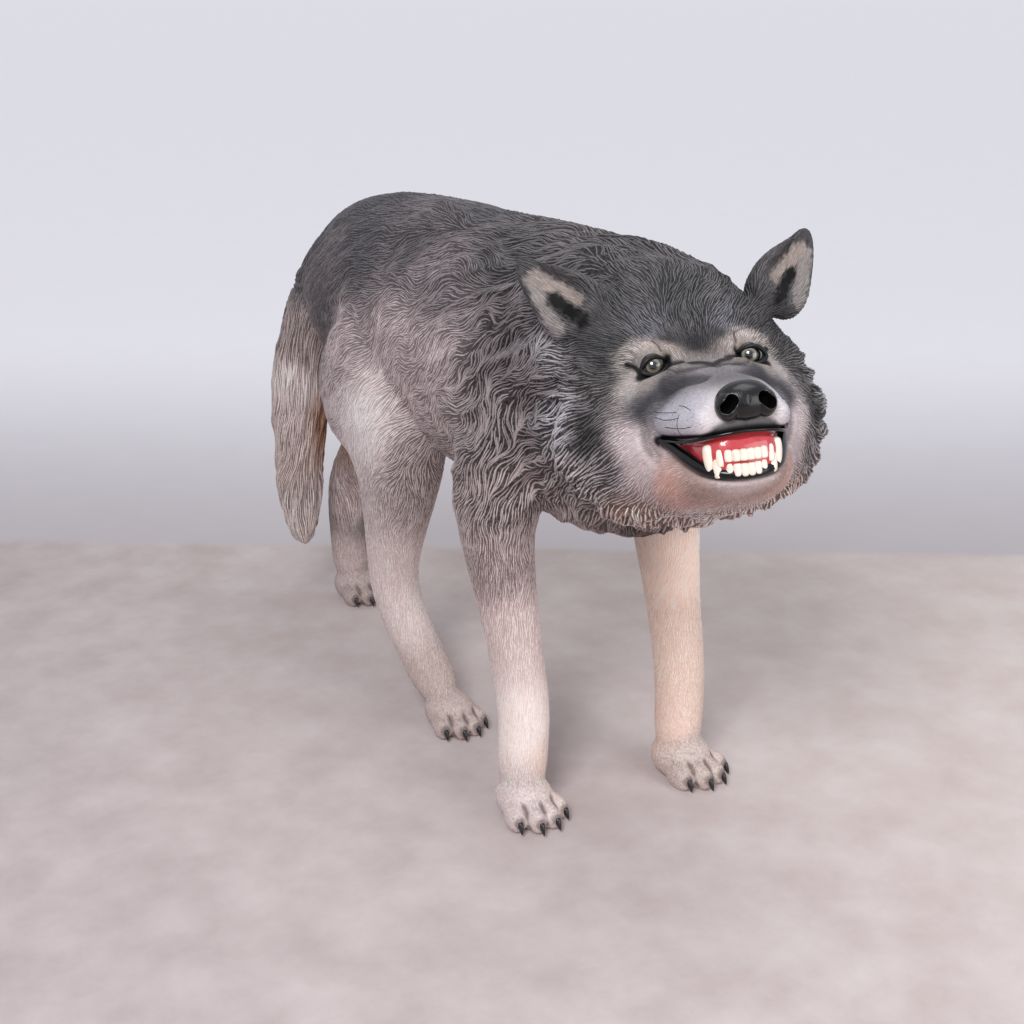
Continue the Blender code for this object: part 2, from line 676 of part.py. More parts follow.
def cleaned(body):
    """The body without needle-thin or doubled faces, standing with the middle of its base at the origin."""
    mesh = bmesh.new()
    mesh.from_mesh(body.data)
    bmesh.ops.triangulate(mesh, faces=mesh.faces)
    bmesh.ops.dissolve_degenerate(mesh, dist=MERGE, edges=mesh.edges)
    bmesh.ops.remove_doubles(mesh, verts=mesh.verts, dist=MERGE)
    bmesh.ops.triangulate(mesh, faces=mesh.faces)
    folded = {}
    for face in mesh.faces:
        folded.setdefault(frozenset(face.verts), []).append(face)
    doubled = [face for faces in folded.values() if len(faces) > 1 for face in faces]
    bmesh.ops.delete(mesh, geom=doubled, context="FACES")
    mesh.normal_update()
    corners = np.array([vertex.co for vertex in mesh.verts])
    middle = (corners.min(axis=0) + corners.max(axis=0)) / 2
    bmesh.ops.translate(mesh, verts=mesh.verts, vec=(-middle[0], -middle[1], 0.0))
    mesh.to_mesh(body.data)
    mesh.free()
    body.data.shade_smooth()
    body.data.set_sharp_from_angle(angle=SHARP_ANGLE)


def painted(obj):
    """The figure's one painted surface."""
    paint = bpy.data.materials.new("painted_fur")
    paint.use_nodes = True
    shader = paint.node_tree.nodes["Principled BSDF"]
    shader.inputs["Base Color"].default_value = (*FUR_COLOUR, 1.0)
    shader.inputs["Roughness"].default_value = FUR_ROUGHNESS
    shader.inputs["Metallic"].default_value = 0.0
    obj.data.materials.clear()
    obj.data.materials.append(paint)


def shaped(body):
    """The run-together body with its modelling, as points moved in place."""
    data = body.data
    points = np.empty(len(data.vertices) * 3)
    normals = np.empty(len(data.vertices) * 3)
    data.vertices.foreach_get("co", points)
    data.vertices.foreach_get("normal", normals)
    points = modelled(points.reshape(-1, 3), normals.reshape(-1, 3))
    points[:, 2] = np.maximum(points[:, 2], 0.0)
    data.vertices.foreach_set("co", points.ravel())
    data.update()


def main():
    for obj in list(bpy.data.objects):
        bpy.data.objects.remove(obj)
    body = joined(masses())
    run = body.modifiers.new("run_together", "REMESH")
    run.mode = "VOXEL"
    run.voxel_size = VOXEL
    soft = body.modifiers.new("relax", "SMOOTH")
    soft.factor = RELAX_FACTOR
    soft.iterations = RELAX_ROUNDS
    body = applied(body)
    shaped(body)
    body = thinned(body, BODY_FACES)
    place = head_matrix()
    body = union(body, lip("upper_lip", UPPER_LIP, place))
    body = union(body, lip("lower_lip", LOWER_LIP, place))
    body = union(body, joined([eye(side, place) for side in (-1, 1)]))
    body = union(body, nose(place))
    body = union(body, joined([teeth(place), claws()]))
    cleaned(body)
    painted(body)
    body.name = body.data.name = NAME
    shelf = bpy.data.collections.new(NAME)
    bpy.context.scene.collection.children.link(shelf)
    bpy.context.scene.collection.objects.unlink(body)
    shelf.objects.link(body)


main()
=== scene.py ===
"""The looks of a life-size walking wolf figure: its carved and painted fur, eyes, nose, mouth and claws."""

import math

import bmesh
import bpy
import numpy as np
from mathutils import Matrix, Vector, noise
from mathutils.bvhtree import BVHTree
from mathutils.kdtree import KDTree


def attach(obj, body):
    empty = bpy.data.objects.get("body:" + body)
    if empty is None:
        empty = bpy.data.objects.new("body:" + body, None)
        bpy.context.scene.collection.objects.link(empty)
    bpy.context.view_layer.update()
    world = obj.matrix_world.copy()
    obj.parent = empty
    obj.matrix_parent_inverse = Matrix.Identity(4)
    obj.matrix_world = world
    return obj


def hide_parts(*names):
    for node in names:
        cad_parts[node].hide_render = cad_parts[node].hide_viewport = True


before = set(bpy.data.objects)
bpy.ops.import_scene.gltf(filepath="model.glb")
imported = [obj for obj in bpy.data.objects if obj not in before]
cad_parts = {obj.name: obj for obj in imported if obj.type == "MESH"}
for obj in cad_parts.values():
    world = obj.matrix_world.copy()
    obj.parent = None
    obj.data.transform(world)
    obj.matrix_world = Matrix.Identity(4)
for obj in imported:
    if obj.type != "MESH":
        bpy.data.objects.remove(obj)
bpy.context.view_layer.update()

NODE = "wolf_figure"
# Where the sculptor's own frame, between the shoulders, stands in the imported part's frame
SHIFT = Vector((0.0026, 0.0472, 0.0))

# Fineness of the surface
SIDES = 12
SMOOTH_LEVELS = 2
VOXEL = 0.0030
RELAX_ROUNDS = 14
RELAX_FACTOR = 0.5
# Triangles of the skin's three pieces; the pieces of the scene have a million in all
SKIN_TRIANGLES = 70000
HEAD_TRIANGLES = 160000
PAW_TRIANGLES = 40000
BEAD_ROUNDING = 3


# Trunk from the rump to the breast: y, widest height, half width, top, underside
TRUNK = [
    (0.455, 0.610, 0.036, 0.655, 0.550),
    (0.415, 0.620, 0.070, 0.712, 0.510),
    (0.330, 0.620, 0.106, 0.774, 0.470),
    (0.210, 0.630, 0.128, 0.803, 0.448),
    (0.080, 0.630, 0.146, 0.808, 0.425),
    (-0.060, 0.620, 0.160, 0.806, 0.402),
    (-0.200, 0.610, 0.168, 0.808, 0.392),
    (-0.320, 0.610, 0.162, 0.796, 0.402),
    (-0.410, 0.610, 0.134, 0.755, 0.428),
    (-0.458, 0.590, 0.086, 0.700, 0.490),
]
TRUNK_TAPER = 0.20

# Legs, bone by bone: share of the bone, half width, front half, back half
FORE_GIRTH = [
    [
        (0.0, 0.056, 0.080, 0.085),
        (0.5, 0.064, 0.085, 0.100),
    ],
    [
        (0.0, 0.054, 0.060, 0.070),
        (0.3, 0.043, 0.050, 0.058),
        (0.65, 0.036, 0.040, 0.046),
    ],
    [
        (0.0, 0.037, 0.040, 0.040),
        (0.5, 0.036, 0.038, 0.034),
        (1.0, 0.036, 0.040, 0.032),
    ],
]
HIND_GIRTH = [
    [
        (0.0, 0.055, 0.098, 0.150),
        (0.5, 0.072, 0.118, 0.190),
    ],
    [
        (0.0, 0.067, 0.084, 0.150),
        (0.4, 0.049, 0.058, 0.086),
        (0.8, 0.039, 0.042, 0.050),
    ],
    [
        (0.1, 0.037, 0.041, 0.041),
        (0.6, 0.035, 0.037, 0.034),
        (1.0, 0.036, 0.038, 0.030),
    ],
]
# Joints: top of the leg, elbow or knee, wrist or hock, ankle
FORE_RIGHT = [(-0.095, -0.22, 0.62), (-0.125, -0.17, 0.43), (-0.112, -0.226, 0.15), (-0.130, -0.237, 0.03)]
FORE_LEFT = [(0.100, -0.22, 0.62), (0.143, -0.215, 0.43), (0.137, -0.274, 0.15), (0.121, -0.287, 0.03)]
HIND_RIGHT = [(-0.070, 0.250, 0.62), (-0.095, 0.075, 0.46), (-0.088, 0.150, 0.20), (-0.062, 0.039, 0.03)]
HIND_LEFT = [(0.070, 0.295, 0.62), (0.092, 0.295, 0.44), (0.084, 0.550, 0.235), (0.086, 0.545, 0.03)]
# Each leg with its girth, its paw's turn to the wolf's left in degrees and the paw's size
LEGS = [
    (FORE_RIGHT, FORE_GIRTH, -6.0, 1.00),
    (FORE_LEFT, FORE_GIRTH, 4.0, 1.04),
    (HIND_RIGHT, HIND_GIRTH, -4.0, 0.95),
    (HIND_LEFT, HIND_GIRTH, 4.0, 0.95),
]

# Paws, in a frame on the ground ahead of the ankle
PAW_AHEAD = 0.015
PAW_RADII = (0.040, 0.046, 0.034)
PAW_MIDDLE = (0.0, 0.004, 0.027)
TOE_RADII = (0.0125, 0.027, 0.019)
TOE_RAISE = 0.016
TOES = [(-0.033, -0.024), (-0.0115, -0.041), (0.0115, -0.041), (0.033, -0.024)]
# Turn of each toe for its distance off the paw's middle, in radians per metre
TOE_FAN = 5.0
# Claws start this share of the toe's length ahead, at this share of its height, and drop by the next
CLAW_SIDES = 6
CLAW_LENGTH = 0.015
CLAW_RADIUS = 0.0058
CLAW_START = 0.72
CLAW_RAISE = 1.05
CLAW_DROP = 0.72
CLAW_BEND = 1.6
CLAW_TAPER = 0.72
CLAW_DEPTH = 1.25

TAIL = [
    ((0.0, 0.380, 0.700), 0.036, 0.036, 0.036),
    ((0.0, 0.445, 0.645), 0.038, 0.038, 0.038),
    ((-0.005, 0.498, 0.560), 0.043, 0.044, 0.044),
    ((-0.010, 0.528, 0.440), 0.048, 0.050, 0.050),
    ((-0.018, 0.534, 0.320), 0.046, 0.048, 0.048),
    ((-0.030, 0.518, 0.215), 0.036, 0.036, 0.036),
    ((-0.037, 0.496, 0.140), 0.014, 0.014, 0.014),
]
NECK = [
    ((0.0, -0.180, 0.625), 0.155, 0.186, 0.190),
    ((-0.012, -0.330, 0.638), 0.162, 0.172, 0.200),
    ((-0.036, -0.425, 0.652), 0.154, 0.148, 0.196),
    ((-0.060, -0.470, 0.668), 0.120, 0.128, 0.150),
]

# The head's own frame: origin between the eyes, x to the wolf's left, y backwards, z up
HEAD_AT = Vector((-0.074, -0.504, 0.710))
HEAD_YAW, HEAD_PITCH, HEAD_ROLL = (math.radians(a) for a in (-28.7, -17.9, -4.0))
# y, widest height, half width, top, bottom
SKULL = [
    (0.170, -0.040, 0.118, 0.094, -0.150),
    (0.125, -0.060, 0.150, 0.110, -0.185),
    (0.085, -0.072, 0.180, 0.106, -0.206),
    (0.055, -0.072, 0.166, 0.078, -0.200),
    (0.028, -0.070, 0.149, 0.046, -0.190),
    (0.002, -0.068, 0.131, 0.018, -0.182),
    (-0.024, -0.068, 0.111, -0.002, -0.172),
    (-0.050, -0.070, 0.090, -0.012, -0.160),
    (-0.068, -0.072, 0.074, -0.020, -0.140),
]
MUZZLE = [
    (0.000, -0.066, 0.096, -0.006, -0.100),
    (-0.035, -0.068, 0.088, -0.010, -0.101),
    (-0.070, -0.068, 0.077, -0.016, -0.101),
    (-0.105, -0.068, 0.067, -0.022, -0.100),
    (-0.135, -0.067, 0.057, -0.028, -0.095),
    (-0.154, -0.065, 0.043, -0.036, -0.090),
]
GUMS = [
    (-0.020, -0.100, 0.058, -0.070, -0.130),
    (-0.060, -0.102, 0.056, -0.070, -0.135),
    (-0.100, -0.106, 0.050, -0.075, -0.142),
    (-0.125, -0.108, 0.043, -0.080, -0.142),
    (-0.145, -0.108, 0.032, -0.085, -0.137),
]
JAW = [
    (0.040, -0.120, 0.118, -0.060, -0.196),
    (-0.020, -0.124, 0.098, -0.080, -0.186),
    (-0.060, -0.128, 0.078, -0.094, -0.174),
    (-0.095, -0.134, 0.060, -0.113, -0.162),
    (-0.122, -0.138, 0.046, -0.128, -0.152),
    (-0.138, -0.139, 0.030, -0.132, -0.146),
]
SKULL_TAPER = 0.30
MUZZLE_TAPER = 0.34
FACE_SQUARE = 0.82

EAR_BASE = Vector((0.122, 0.073, 0.068))
EAR_TIP = Vector((0.182, 0.110, 0.144))
EAR_FACE = Vector((0.30, -0.92, -0.05))
# ring centre, half width, half thickness
EAR = [
    (Vector((0.106, 0.088, 0.044)), 0.036, 0.020),
    (EAR_BASE, 0.046, 0.020),
    (Vector((0.138, 0.078, 0.087)), 0.043, 0.0165),
    (Vector((0.156, 0.089, 0.105)), 0.031, 0.0130),
    (Vector((0.171, 0.101, 0.123)), 0.020, 0.0095),
    (EAR_TIP, 0.008, 0.0060),
]
EAR_SQUARE = 0.9
# The ear's hollow: share of the half width and of the half thickness, where it fades along the ear
EAR_CUP_WIDTH = 0.84
EAR_CUP_SHARE = 1.12
EAR_CUP_FLOOR = 0.45
EAR_CUP_LOW = (-0.12, 0.22)
EAR_CUP_HIGH = (0.96, 0.55)
EAR_CUP_FACING = (0.1, 0.5)
EAR_CUP_REACH = 0.06

EYE_AT = Vector((0.0575, -0.0010, -0.0050))
EYE_RADIUS = 0.0150
LID_RADIUS = 0.0032
# The lids' almond about the eye: across, up, forward
LIDS = [
    (-0.0170, -0.0035, 0.0110),
    (-0.0100, 0.0065, 0.0140),
    (0.0000, 0.0100, 0.0125),
    (0.0090, 0.0075, 0.0085),
    (0.0190, 0.0010, 0.0010),
    (0.0100, -0.0065, 0.0085),
    (0.0000, -0.0105, 0.0120),
    (-0.0100, -0.0095, 0.0130),
]
NOSE_AT = Vector((0.002, -0.149, -0.054))
NOSE_RADII = (0.0325, 0.0195, 0.0220)
WING_AT = (0.0210, -0.0052, -0.0045)
WING_RADII = (0.0134, 0.0150, 0.0160)

# Teeth: x, y, root height, length down (or up), half width; the last of each row is the fang
UPPER_TEETH = [
    (0.0040, -0.1460, -0.1075, 0.0110, 0.0044),
    (0.0120, -0.1445, -0.1075, 0.0110, 0.0044),
    (0.0198, -0.1410, -0.1070, 0.0115, 0.0043),
    (0.0280, -0.1370, -0.1065, 0.0165, 0.0044),
    (0.0382, -0.1290, -0.1010, 0.0275, 0.0060),
]
LOWER_TEETH = [
    (0.0038, -0.1440, -0.1330, 0.0120, 0.0042),
    (0.0114, -0.1425, -0.1325, 0.0120, 0.0042),
    (0.0188, -0.1390, -0.1315, 0.0120, 0.0041),
    (0.0307, -0.1335, -0.1320, 0.0260, 0.0050),
]

# Lip lines from the corner of the mouth to its middle
UPPER_LIP = [
    (0.0735, -0.0560, -0.0890),
    (0.0655, -0.0780, -0.0905),
    (0.0595, -0.1000, -0.0920),
    (0.0510, -0.1235, -0.0915),
    (0.0365, -0.1415, -0.0890),
    (0.0180, -0.1500, -0.0870),
    (0.0000, -0.1515, -0.0860),
]
LOWER_LIP = [
    (0.0720, -0.0585, -0.0915),
    (0.0625, -0.0770, -0.1020),
    (0.0530, -0.0980, -0.1145),
    (0.0415, -0.1200, -0.1270),
    (0.0245, -0.1350, -0.1335),
    (0.0000, -0.1400, -0.1360),
]
# Modelling strokes on the head, mirrored across the face: points, reach, height over the surface
HEAD_STROKES = [
    ([(0.058, -0.006, -0.004)], 0.026, -0.0100),
    ([(0.082, 0.022, 0.016), (0.056, 0.016, 0.022), (0.040, -0.002, 0.014)], 0.024, 0.0080),
    ([(0.050, 0.026, 0.025), (0.044, 0.010, 0.014), (0.044, -0.002, 0.005)], 0.010, -0.0030),
    ([(0.042, -0.018, -0.009), (0.028, -0.024, -0.004), (0.0, -0.030, -0.003)], 0.013, -0.0060),
    ([(0.040, -0.032, -0.014), (0.024, -0.038, -0.011), (0.0, -0.042, -0.009)], 0.015, 0.0050),
    ([(0.040, -0.042, -0.018), (0.024, -0.050, -0.014), (0.0, -0.056, -0.012)], 0.009, -0.0035),
    ([(0.052, -0.048, -0.026), (0.030, -0.062, -0.020), (0.010, -0.070, -0.017)], 0.015, 0.0045),
    ([(0.064, -0.052, -0.038), (0.045, -0.064, -0.028), (0.026, -0.094, -0.026)], 0.014, -0.0040),
    ([(0.0, 0.010, 0.018), (0.0, 0.035, 0.042), (0.0, 0.060, 0.070)], 0.030, -0.0070),
    ([(0.070, -0.022, -0.028), (0.050, -0.034, -0.022)], 0.016, 0.0040),
    ([(0.085, -0.042, -0.074), (0.088, -0.044, -0.090), (0.080, -0.048, -0.108)], 0.014, -0.0060),
    ([(0.076, -0.068, -0.072), (0.064, -0.100, -0.076), (0.050, -0.135, -0.078)], 0.022, 0.0040),
    ([(0.058, -0.140, -0.060), (0.044, -0.152, -0.072)], 0.014, 0.0030),
]

# Carved locks: length along the coat, width across it, height, share of the height below the surface
BODY_LOCKS = (0.110, 0.038, 0.0100, 0.4)
RUFF_LOCKS = (0.070, 0.026, 0.0080, 0.3)
TAIL_LOCKS = (0.120, 0.026, 0.0065, 0.4)
LOCK_SHARPNESS = 2.6
# Girth radii that turn the angle round the body and the tail into a length, and the locks' slant
BODY_ROUND, BODY_AXIS, BODY_SLANT = 0.16, 0.60, 0.5
TAIL_ROUND, TAIL_AXIS, TAIL_SLANT = 0.046, (-0.015, 0.520), 0.25
# Heights between which the body's locks fade in, and distances behind the eyes and from the ears
BODY_LOCKS_LOW = (0.38, 0.46)
BODY_LOCKS_BACK = (0.03, 0.13)
EAR_CLEAR = (0.040, 0.075)
# Behind the shoulders the body's locks are this share as high, reached over this length of the back
TRUNK_LOCKS = 0.28
TRUNK_LOCKS_FROM = (-0.16, 0.00)
# The ruff's locks fade in and out behind the eyes, fade in outwards from its axis and end at its rim
RUFF_FRONT = (0.00, 0.05)
RUFF_REAR = (0.15, 0.11)
RUFF_AXIS = -0.05
RUFF_INNER = (0.09, 0.13)
RUFF_RIM = 0.24
RUFF_CROWN = 0.6
RUFF_CROWN_RISE = (0.0, 0.08)
# The tail's locks fade in behind the rump and fade out at its root and tip
TAIL_BACK = (0.46, 0.50)
TAIL_ROOT = (0.66, 0.60)
TAIL_TIP = (0.13, 0.18)
TAIL_REACH = 0.06


def new_object(name, mesh):
    obj = bpy.data.objects.new(name, mesh)
    bpy.context.scene.collection.objects.link(obj)
    return obj


def finish(name, mesh, levels=0):
    bmesh.ops.recalc_face_normals(mesh, faces=mesh.faces)
    data = bpy.data.meshes.new(name)
    mesh.to_mesh(data)
    mesh.free()
    obj = new_object(name, data)
    if levels:
        soft = obj.modifiers.new("soft", "SUBSURF")
        soft.levels = soft.render_levels = levels
    return obj


def tube(name, rings, place=Matrix(), across=Vector((1, 0, 0)), square=1.0, taper=0.0,
         sides=SIDES, levels=SMOOTH_LEVELS):
    """A closed tube through rings of (centre, half width, front or top half, back or underside half)."""
    centres = [Vector(ring[0]) for ring in rings]
    mesh = bmesh.new()
    loops = []
    for i, (_, wide, fore, aft) in enumerate(rings):
        run = centres[min(i + 1, len(rings) - 1)] - centres[max(i - 1, 0)]
        upward = run.cross(across).normalized()
        sideways = upward.cross(run).normalized()
        loop = []
        for s in range(sides):
            turn = 2 * math.pi * s / sides
            side = math.copysign(abs(math.cos(turn)) ** square, math.cos(turn))
            high = math.copysign(abs(math.sin(turn)) ** square, math.sin(turn))
            wide_here = side * wide * (1 - taper * max(high, 0))
            point = centres[i] + sideways * wide_here + upward * (high * (fore if high > 0 else aft))
            loop.append(mesh.verts.new(place @ point))
        loops.append(loop)
    for a, b in zip(loops, loops[1:]):
        for s in range(sides):
            n = (s + 1) % sides
            mesh.faces.new((a[s], a[n], b[n], b[s]))
    mesh.faces.new(list(reversed(loops[0])))
    mesh.faces.new(loops[-1])
    return finish(name, mesh, levels)


def lengthwise(rows):
    """Rings for a tube along y from rows of (y, widest height, half width, top, bottom)."""
    return [((0, y, mid), half, top - mid, mid - low) for y, mid, half, top, low in rows]


def ball(name, at, radii, place=Matrix(), across=16, along=10):
    mesh = bmesh.new()
    size = Matrix.Diagonal((*radii, 1.0))
    spot = place @ Matrix.Translation(at) @ size
    bmesh.ops.create_uvsphere(mesh, u_segments=across, v_segments=along, radius=1.0, matrix=spot)
    return finish(name, mesh)


def leg(joints, girth):
    rings = []
    for top, low, rows in zip(joints, joints[1:], girth):
        for share, wide, fore, aft in rows:
            rings.append((Vector(top).lerp(Vector(low), share), wide, fore, aft))
    return tube("leg", rings)


def paw_matrix(joints, turn, size):
    """The paw's frame, on the ground ahead of the ankle."""
    facing = Matrix.Rotation(math.radians(turn), 4, "Z")
    x, y, _ = Vector(joints[-1]) + facing @ Vector((0, -PAW_AHEAD, 0))
    return Matrix.Translation((x, y, 0)) @ facing @ Matrix.Scale(size, 4)


def toe_matrix(x, y, height):
    """A toe's frame in its paw's frame."""
    return Matrix.Translation((x, y, height)) @ Matrix.Rotation(x * TOE_FAN, 4, "Z")


def paw(place):
    made = [ball("paw", PAW_MIDDLE, PAW_RADII, place)]
    for x, y in TOES:
        made.append(ball("toe", (0, 0, 0), TOE_RADII, place @ toe_matrix(x, y, TOE_RAISE)))
    return made


def head_matrix():
    yaw = Matrix.Rotation(HEAD_YAW, 4, "Z")
    pitch = Matrix.Rotation(HEAD_PITCH, 4, "X")
    roll = Matrix.Rotation(HEAD_ROLL, 4, "Y")
    return Matrix.Translation(HEAD_AT) @ yaw @ pitch @ roll


def mirrored(point, side):
    return Vector((point[0] * side, point[1], point[2]))


def ear(side):
    base, tip = mirrored(EAR_BASE, side), mirrored(EAR_TIP, side)
    face = mirrored(EAR_FACE, side).normalized()
    across = (tip - base).cross(face).normalized()
    rings = [(mirrored(at, side), wide, thick, thick) for at, wide, thick in EAR]
    return tube("ear", rings, head_matrix(), across, square=EAR_SQUARE)


def smooth_step(low, high, values):
    share = np.clip((values - low) / (high - low), 0, 1)
    return share * share * (3 - 2 * share)


def ear_hollow(points, normals, side, place):
    """How far each point sinks into the ear's open face, and which way that is."""
    base, tip = place @ mirrored(EAR_BASE, side), place @ mirrored(EAR_TIP, side)
    face = (place.to_3x3() @ mirrored(EAR_FACE, side)).normalized()
    along = (tip - base).normalized()
    across = along.cross(face).normalized()
    face = np.array(across.cross(along))
    away = points - np.array(base)
    up = away @ np.array(along) / (tip - base).length
    over = away @ np.array(across)
    rise = EAR_TIP - EAR_BASE
    shares = [(row[0] - EAR_BASE).dot(rise) / rise.dot(rise) for row in EAR]
    wide = np.interp(up, shares, [row[1] for row in EAR]) * EAR_CUP_WIDTH
    deep = np.interp(up, shares, [row[2] for row in EAR]) * EAR_CUP_SHARE
    inside = smooth_step(1.0, EAR_CUP_FLOOR, np.abs(over) / wide)
    inside *= smooth_step(*EAR_CUP_LOW, up) * smooth_step(*EAR_CUP_HIGH, up)
    inside *= smooth_step(*EAR_CUP_FACING, normals @ face) * (np.abs(away @ face) < EAR_CUP_REACH)
    return (inside * deep)[:, None] * -face


def near_line(points, line):
    """Distance from each point to a line of points."""
    line = [np.array(p, float) for p in line]
    best = np.linalg.norm(points - line[0], axis=1)
    for a, b in zip(line, line[1:]):
        share = np.clip((points - a) @ (b - a) / ((b - a) @ (b - a)), 0, 1)
        best = np.minimum(best, np.linalg.norm(points - a - share[:, None] * (b - a), axis=1))
    return best


def ridges(along, across, size, seed):
    """Height of the carved locks, from lengths along and across the coat."""
    length, width, height, sunk = size
    values = np.empty(len(along))
    for i in range(len(along)):
        values[i] = noise.noise(Vector((along[i] / length, across[i] / width, seed)))
    return height * (1 - np.clip(np.abs(values) * LOCK_SHARPNESS, 0, 1) - sunk)


def locks(points, local):
    """How far the carved locks lift each point."""
    lift = np.zeros(len(points))
    ears = near_line(local * (-1, 1, 1), (EAR_BASE, EAR_TIP))
    ears = np.minimum(ears, near_line(local, (EAR_BASE, EAR_TIP)))
    x, y, z = points.T
    around = np.arctan2(x, z - BODY_AXIS) * BODY_ROUND + BODY_SLANT * y
    body = smooth_step(*BODY_LOCKS_LOW, z) * smooth_step(*BODY_LOCKS_BACK, local[:, 1])
    body *= 1 - (1 - TRUNK_LOCKS) * smooth_step(*TRUNK_LOCKS_FROM, y)
    picked = body > 0
    lift[picked] += body[picked] * ridges(y[picked], around[picked], BODY_LOCKS, 3.0)
    lx, ly, lz = local.T
    around = np.arctan2(lx, lz - RUFF_AXIS) * BODY_ROUND
    out = np.hypot(lx, lz - RUFF_AXIS)
    ruff = smooth_step(*RUFF_FRONT, ly) * smooth_step(*RUFF_REAR, ly)
    ruff *= smooth_step(*RUFF_INNER, out) * (out < RUFF_RIM)
    ruff *= 1 - RUFF_CROWN * smooth_step(*RUFF_CROWN_RISE, lz)
    picked = ruff > 0
    lift[picked] += ruff[picked] * ridges((ly + out)[picked], around[picked], RUFF_LOCKS, 8.0)
    tail = smooth_step(*TAIL_BACK, y) * smooth_step(*TAIL_ROOT, z) * smooth_step(*TAIL_TIP, z)
    tail *= np.abs(x - TAIL_AXIS[0]) < TAIL_REACH
    around = np.arctan2(x - TAIL_AXIS[0], y - TAIL_AXIS[1]) * TAIL_ROUND + TAIL_SLANT * z
    picked = tail > 0
    lift[picked] += tail[picked] * ridges(z[picked], around[picked], TAIL_LOCKS, 15.0)
    return lift * smooth_step(*EAR_CLEAR, ears)


def modelled(points, normals):
    """Points moved by the head's strokes, the hollows of the ears and the carved locks."""
    place = head_matrix()
    inward = np.array(place.inverted())
    local = points @ inward[:3, :3].T + inward[:3, 3]
    height = np.zeros(len(points))
    for line, reach, high in HEAD_STROKES:
        near = np.full(len(points), 1.0)
        for side in (-1, 1):
            near = np.minimum(near, near_line(local, [(x * side, y, z) for x, y, z in line]))
        height += high * smooth_step(reach, 0.0, near)
    height += locks(points, local)
    moved = points + normals * height[:, None]
    for side in (-1, 1):
        moved = moved + ear_hollow(points, normals, side, place)
    return moved


def masses():
    """The figure's swelling masses, before they are run together."""
    made = [tube("trunk", lengthwise(TRUNK), taper=TRUNK_TAPER), tube("neck", NECK), tube("tail", TAIL)]
    for joints, girth, turn, size in LEGS:
        made.append(leg(joints, girth))
        made.extend(paw(paw_matrix(joints, turn, size)))
    place = head_matrix()
    made.append(tube("skull", lengthwise(SKULL), place, square=FACE_SQUARE, taper=SKULL_TAPER))
    made.append(tube("muzzle", lengthwise(MUZZLE), place, square=FACE_SQUARE, taper=MUZZLE_TAPER))
    made.append(tube("gums", lengthwise(GUMS), place, square=FACE_SQUARE))
    made.append(tube("jaw", lengthwise(JAW), place, square=FACE_SQUARE))
    made.extend(ear(side) for side in (-1, 1))
    return made


def applied(obj):
    """The object's mesh with its modifiers applied."""
    graph = bpy.context.evaluated_depsgraph_get()
    data = bpy.data.meshes.new_from_object(obj.evaluated_get(graph))
    name = obj.name
    bpy.data.objects.remove(obj)
    return new_object(name, data)


def joined(objects):
    mesh = bmesh.new()
    graph = bpy.context.evaluated_depsgraph_get()
    for obj in objects:
        mesh.from_object(obj, graph)
    for obj in objects:
        bpy.data.objects.remove(obj)
    data = bpy.data.meshes.new(NODE)
    mesh.to_mesh(data)
    mesh.free()
    return new_object(NODE, data)


def smooth_line(points, pieces):
    """Points along a smooth curve through the given ones, with so many pieces between each two."""
    line = [Vector(p) for p in points]
    line = [line[0] * 2 - line[1]] + line + [line[-1] * 2 - line[-2]]
    found = []
    for a, b, c, d in zip(line, line[1:], line[2:], line[3:]):
        for i in range(pieces):
            t = i / pieces
            bend = (2 * a - 5 * b + 4 * c - d) * t * t + (3 * b - a - 3 * c + d) * t ** 3
            found.append(0.5 * (2 * b + (c - a) * t + bend))
    return found + [line[-2]]


